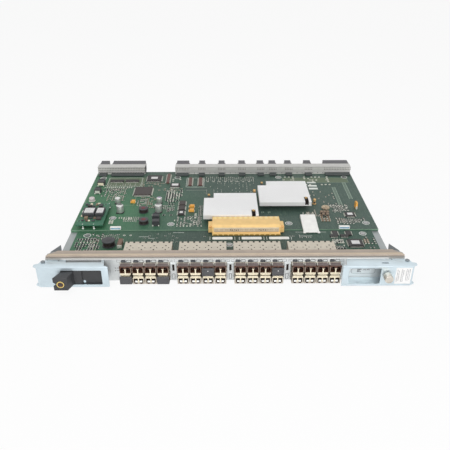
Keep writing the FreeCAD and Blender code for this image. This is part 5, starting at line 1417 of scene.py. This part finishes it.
FIELDS = {
    # kind: board, x span, y span, pitch x, pitch y, share kept, turned
    "resistor": (
        ("main", (-133, -113), (112, 125), 2.3, 2.7, 0.92, 1),
        ("main", (-85, -68), (142, 159), 2.5, 2.9, 0.87, 0),
        ("main", (-62, -30), (99, 125), 2.9, 3.1, 0.43, 0),
        ("main", (-166, -142), (173, 213), 2.9, 3.6, 0.43, 0),
        ("main", (143, 168), (137, 156), 2.5, 3.1, 0.8, 0),
        ("main", (160, 179), (107, 118), 2.5, 2.9, 0.87, 0),
        ("main", (-34, -31), (104, 156), 2.3, 2.3, 0.92, 0),
        ("main", (-180, -120), (215, 231), 3.6, 4.0, 0.51, 1),
        ("main", (-26, 46), (182, 236), 5.4, 5.8, 0.36, 1),
        ("main", (-30, 46), (238, 252), 3.1, 3.1, 0.72, 1),
        ("port", (-153, -132), (65, 82), 2.7, 2.9, 0.87, 0),
        ("port", (-100, -60), (56, 84), 5.0, 4.9, 0.22, 0),
        ("port", (-30, 90), (74, 76.4), 4.0, 2.7, 0.43, 0),
        ("port", (94, 110), (71, 77), 2.7, 2.7, 0.72, 1),
    ),
    "capacitor": (
        ("main", (-117, -96), (147, 183), 3.1, 3.8, 0.61, 0),
        ("main", (-166, -142), (173, 213), 3.6, 4.1, 0.65, 1),
        ("main", (111, 127), (125, 142), 2.9, 3.2, 0.87, 1),
        ("main", (149, 160), (107, 118), 2.9, 2.9, 0.92, 1),
        ("main", (-120, -60), (205, 232), 4.1, 4.7, 0.43, 0),
        ("main", (118, 158), (160, 205), 5.4, 5.4, 0.32, 1),
        ("port", (-166, -156), (43, 68), 3.1, 3.8, 0.87, 1),
    ),
    "cream": (
        ("main", (-80, -60), (170, 201), 3.8, 4.5, 0.72, 1),
        ("main", (-159, -152), (136, 147), 3.1, 3.6, 0.92, 1),
        ("main", (-154, -146), (106, 115), 3.2, 3.2, 0.92, 0),
        ("main", (143, 168), (137, 156), 4.0, 4.5, 0.43, 1),
        ("main", (88, 160), (222, 250), 5.8, 5.4, 0.41, 0),
        ("port", (136, 151), (57, 68), 3.2, 3.4, 0.87, 0),
        ("main", (-140, -124), (117, 123), 3.2, 3.4, 0.75, 1),
        ("main", (-82, -64), (176, 206), 4.6, 5.0, 0.5, 0),
        ("main", (-66, -36), (98, 122), 4.2, 5.0, 0.45, 1),
        ("main", (-39, -37), (120, 156), 3.0, 3.6, 0.9, 0),
        ("main", (-176, -124), (214, 217), 3.0, 3.4, 0.8, 1),
        ("main", (-98, -62), (236, 256), 5.2, 6.0, 0.4, 0),
        ("main", (106, 122), (124, 134), 3.2, 4.0, 0.7, 1),
        ("port", (-178, -158), (40, 62), 4.2, 5.0, 0.4, 1),
        ("port", (134, 150), (46, 68), 3.8, 4.4, 0.5, 1),
    ),
    "diode": (
        ("main", (-62, -30), (99, 125), 4.5, 4.7, 0.58, 1),
        ("main", (-171, -148), (203, 211), 4.7, 4.5, 0.72, 0),
        ("main", (-121, -108), (158, 176), 3.4, 4.2, 0.75, 1),
        ("main", (-96, -70), (128, 176), 4.8, 5.4, 0.4, 0),
        ("main", (-176, -150), (182, 212), 4.6, 5.2, 0.5, 1),
        ("main", (142, 170), (136, 158), 3.8, 4.6, 0.55, 1),
        ("main", (-82, -62), (168, 206), 3.9, 4.3, 0.6, 0),
        ("port", (-182, -154), (38, 70), 3.4, 4.2, 0.6, 0),
        ("main", (-166, -140), (128, 150), 4.2, 4.4, 0.45, 0),
        ("port", (134, 156), (44, 70), 3.6, 4.1, 0.5, 0),
        ("main", (148, 186), (104, 118), 4.0, 4.6, 0.5, 1),
        ("port", (-170, -152), (66, 84), 4.0, 4.6, 0.5, 1),
        ("port", (172, 186), (46, 72), 4.4, 5.0, 0.4, 1),
    ),
    "tan": (
        ("main", (129, 138), (111, 126), 4.4, 5.0, 0.8, 0),
        ("port", (173, 180), (56, 66), 3.6, 3.6, 0.92, 1),
    ),
}


BUSY = (
    # low x, high x, low y, high y
    (-173, -126, 229, 243), (-119, -93, 231, 257), (-82, -64, 212, 228), (-64, -50, 125, 177),
    (159, 177, 118, 136), (-97, -84, 97, 124), (-192, -178, 216, 233), (-190, -178, 193, 207),
    (-50, -40, 135, 155), (-133, -123, 162, 170), (177, 185, 143, 154), (125, 145, 129, 151),
    (149, 171, 44, 66), (131, 156, 68, 78), (-132, -124, 46, 62), (-148, -135, 131, 145),
    (-97, -83, 132, 146), (-155, -143, 159, 171), (-97, -85, 159, 171), (-118, -102, 131, 147),
    (-114, -98, 99, 115), (-188, -176, 169, 181), (-152, -132, 44, 64), (-193, -154, 88, 155),
    (-134, -100, 183, 216), (98, 122, 76, 123), (-149, -131, 88, 100), (145, 162, 88, 100),
    (-30, 46, 101, 170), (45, 120, 137, 209), (-23, 77, 75, 105), (-88, -81, 227, 262),
    (-55, -32, 218, 247),
)


def clear_spans():
    """Ground that small parts keep off: larger parts and the screws' rings."""
    return BUSY + tuple((*about(x, RING_CLEAR), *about(y, RING_CLEAR)) for x, y, _ in SCREWS)


def covered(x, y, spans, margin=1.6):
    """Whether a seat falls on or beside kept ground."""
    return any(low_x - margin < x < high_x + margin and low_y - margin < y < high_y + margin
               for low_x, high_x, low_y, high_y in spans)


def small_parts():
    """Fields of chip parts in rows, a share of each row's seats filled."""
    keep_clear = clear_spans()
    for kind, fields in FIELDS.items():
        pattern = small_part(*CHIP_PARTS[kind])
        copies = []
        for board, (x, last_x), (first_y, last_y), step_x, step_y, share, turned in fields:
            level = MAIN_TOP if board == "main" else PORT_TOP
            while x <= last_x:
                y = first_y
                while y <= last_y:
                    if random.random() < share and not covered(x, y, keep_clear):
                        copies.append(copied(pattern, x, y, level, math.pi / 2 * turned))
                    y += step_y
                x += step_x
        placed(joined(*copies), f"chip_parts_{kind}")
        discarded(pattern)


def tall_packages():
    """Three long brown packages on the main board and two small dark ones on the port board."""
    made = []
    for low_x, high_x, low_y, high_y, high, finish in ((-87, -82.6, 228, 260, 2.6, "red_case"),
                                                       (-53.4, -48.4, 219, 246, 2.4, "red_case"),
                                                       (-38.4, -33, 219, 246, 2.4, "red_case")):
        long, deep = high_x - low_x, high_y - low_y
        part = chip(long, deep, high, leads=(0, 18), pitch=(deep - 1.5) / 18, reach=1.5, finish=finish)
        made.append(set_out(part, [((low_x + high_x) / 2, (low_y + high_y) / 2, MAIN_TOP)]))
    small = chip(7.5, 12, 1.9, leads=(0, 8), reach=1.3)
    made.append(set_out(small, [(x, 79.6, PORT_TOP, 0, (0.9, 0.9, 1)) for x in (139.5, 156.5)]))
    placed(joined(*made), "long_packages")


def ink_bar(left, right, front, back, level, finish="print"):
    """One printed bar on a board."""
    mark = block((left, right), (front, back), (level - 0.02, level + 0.06), finish)
    return dished(mark, UP, min(right - left, back - front) * 0.12)


def ink_outline(left, right, front, back, wide, finish):
    """Four bars round a rectangle of the main board."""
    sides = ((left, right, front, front + wide), (left, right, back - wide, back),
             (left, left + wide, front, back), (right - wide, right, front, back))
    return [ink_bar(*side, MAIN_TOP, finish) for side in sides]


def print_marks():
    """Ink on the boards: bars, package outlines, connector footprints and ladders, and plated pads."""
    inks = []
    for left, right in ((-15.9, 9.5), (20.8, 45.9), (55.2, 80.2)):
        plate = block((left, right), (66.5, 72.3), (PORT_TOP - 0.02, PORT_TOP + 0.5), "white")
        inks.append(softened(cornered(plate, "z", 1.2, 3), 0.12, 1))
        inks += [ink_bar(x, x + 0.5, 65.8, 73, PORT_TOP) for x in (left - 3.2, right + 2.6)]
    inks += [ink_bar(125, 138, front, back, MAIN_TOP)
             for front, back in ((228.2, 233), (216.4, 221.6), (206.6, 212.4))]
    inks += [ink_bar(-55.5, -26, front, front + 0.8, MAIN_TOP, "trace") for front in (205, 214)]
    for left in (50, 58.8):
        inks += [ink_bar(left, left + 1.0, 133, 138, MAIN_TOP, "trace"),
                 ink_bar(left + 2.0, left + 3.4, 135, 138, MAIN_TOP, "trace")]
    for rectangle in ((89, 188, 230.6, 247.6, 0.4, "trace"), (-175, -124, 219.5, 249.5, 0.5, "print"),
                      (-196, -126, 158, 214, 0.4, "trace"), (-57, -30, 216.5, 248.5, 0.5, "print")):
        inks += ink_outline(*rectangle)
    for x, front, back in ((159.3, 154.5, 214), (177.5, 175, 231)):
        inks += [ink_bar(rail, rail + 0.7, front, back, MAIN_TOP, "trace") for rail in (x, x + 4.4)]
        y = front + 2
        while y < back:
            inks.append(ink_bar(x + 0.8, x + 4.4, y, y + 0.9, MAIN_TOP, "trace"))
            y += 3.1
    inks += [ink_bar(x, x + long, y, y + 0.5, PORT_TOP)
             for x, y, long in ((94, 74.4, 16), (-108, 74, 12), (-96, 70, 8), (90, 84, 10), (-66, 84, 14),
                                (120, 84, 9))]
    placed(joined(*inks), "board_printing")
    pad = rod((0, 0, 0), 1.5, 0.1, sides=20, finish="leads")
    # painted shade: the dark centre of each pad's hole
    dished(pad, UP, 0.7, -0.03, finish="dark")
    places = [(x, 240, MAIN_TOP + 0.02) for x in (91, 102, 131, 156)]
    places += [(x, 235, MAIN_TOP + 0.02) for x in range(-25, 46, 9)]
    places += [(x, 78, PORT_TOP + 0.02) for x in (-161, -127, -119)]
    placed(set_out(pad, places), "plated_pads")


def board_edges():
    """The main board's bare front edge and the olive copper areas printed by its rear corners."""
    low, high = corners("main_board")
    edge = block((low.x + 0.3, high.x - 0.3), (low.y - 0.06, low.y + 0.3), (high.z - 1.6, high.z + 0.02),
                 "edge_green")
    dished(edge, FRONT, 0.1)
    areas = [edge]
    for left, right, front, back, finish in ((-176, -120, 218, 251, "olive"), (89, 188, 231, 247.5, "olive"),
                                   (-57, -25, 203.5, 215, "mask_dark")):
        area = block((left, right), (front, back), about(MAIN_TOP, 0.02), finish)
        cornered(area, "z", 2.0, 3)
        areas.append(area)
    placed(joined(*areas), "board_edges")


# ------------------------------------------------------------------ the card
cages()
transceivers()
dust_plugs()
port_lights()
panel_marks()
separator_insets()
sheet_ejectors()
gasket()
hood()
thumbscrew("thumbscrew_left", "thumbscrew_left")
thumbscrew("thumbscrew_right", "thumbscrew_right")
ejector_label()
recess_marks()
ejector_rivets()
board_chips()
flat_pack()
board_screws()
cans()
coils()
relays()
tantalums()
filters()
crystal()
sink_fixings()
fins()
converter()
bridge()
backplane()
stiffener_slots()
cover_and_clips()
board_edges()
small_parts()
tall_packages()
print_marks()


# ------------------------------------------------------------------ studio
def seen_directly(tree):
    """One where the eye, a mirror or glass looks at it, nought where it lights the object."""
    rays = wired(tree, "LightPath")
    total = rays["Is Camera Ray"]
    for kind in ("Is Glossy Ray", "Is Transmission Ray"):
        total = wired(tree, "Math", {0: total, 1: rays[kind]}, operation="MAXIMUM")["Value"]
    return total


def studio():
    """A white sweep and world that light evenly, and four soft lamps."""
    scene = bpy.context.scene
    bpy.ops.object.select_all(action="DESELECT")
    bpy.ops.mesh.primitive_plane_add(size=9, location=(0, 0.1, -0.0002))
    floor = bpy.context.object
    floor.name = "studio_floor"
    bpy.ops.object.transform_apply(location=True, rotation=True, scale=True)
    paper = bpy.data.materials.new("studio_paper")
    paper.use_nodes = True
    tree = paper.node_tree
    tree.nodes.clear()
    plain = wired(tree, "BsdfDiffuse", {"Color": (0.8, 0.8, 0.8, 1)})[0]
    lit = wired(tree, "Emission", {"Strength": 1.0})[0]
    lifted = wired(tree, "MixShader", {"Fac": 0.9, 1: plain, 2: lit})[0]
    shown = wired(tree, "MixShader", {"Fac": seen_directly(tree), 1: plain, 2: lifted})[0]
    wired(tree, "OutputMaterial", {"Surface": shown})
    floor.data.materials.append(paper)

    world = bpy.data.worlds.new("studio_world")
    scene.world = world
    world.use_nodes = True
    tree = world.node_tree
    background = tree.nodes["Background"]
    background.inputs["Color"].default_value = (1, 1, 1, 1)
    strength = wired(tree, "MapRange", {"Value": seen_directly(tree), "To Min": 0.5, "To Max": 1.0})["Result"]
    tree.links.new(strength, background.inputs["Strength"])

    for name, place, size, power in (("key", (-0.35, -0.75, 1.15), 0.9, 5.6),
                                     ("fill", (0.7, -1.0, 0.45), 0.9, 5.0),
                                     ("top", (0.0, 0.35, 1.3), 1.2, 1.8),
                                     ("front", (0.0, -1.4, 0.45), 1.2, 9.0)):
        light = bpy.data.lights.new(name, "AREA")
        light.size, light.energy = size, power
        lamp = bpy.data.objects.new(name, light)
        scene.collection.objects.link(lamp)
        lamp.location = place
        lamp.rotation_mode = "QUATERNION"
        lamp.rotation_quaternion = (Vector((0, 0.1, 0)) - Vector(place)).to_track_quat("-Z", "Y")


def camera():
    """The camera a little left of the middle, looking down at the card."""
    lens = bpy.data.cameras.new("camera")
    lens.sensor_width, lens.lens = 36, 43.28
    lens.clip_start, lens.clip_end = 0.01, 20
    view = bpy.data.objects.new("camera", lens)
    bpy.context.scene.collection.objects.link(view)
    view.location = (-0.00465, -0.5109, 0.3617)
    view.rotation_euler = Euler((math.radians(90 - 29.5), 0, math.radians(-0.46)))
    bpy.context.scene.camera = view


studio()
camera()
bpy.context.scene.view_settings.view_transform = "Standard"
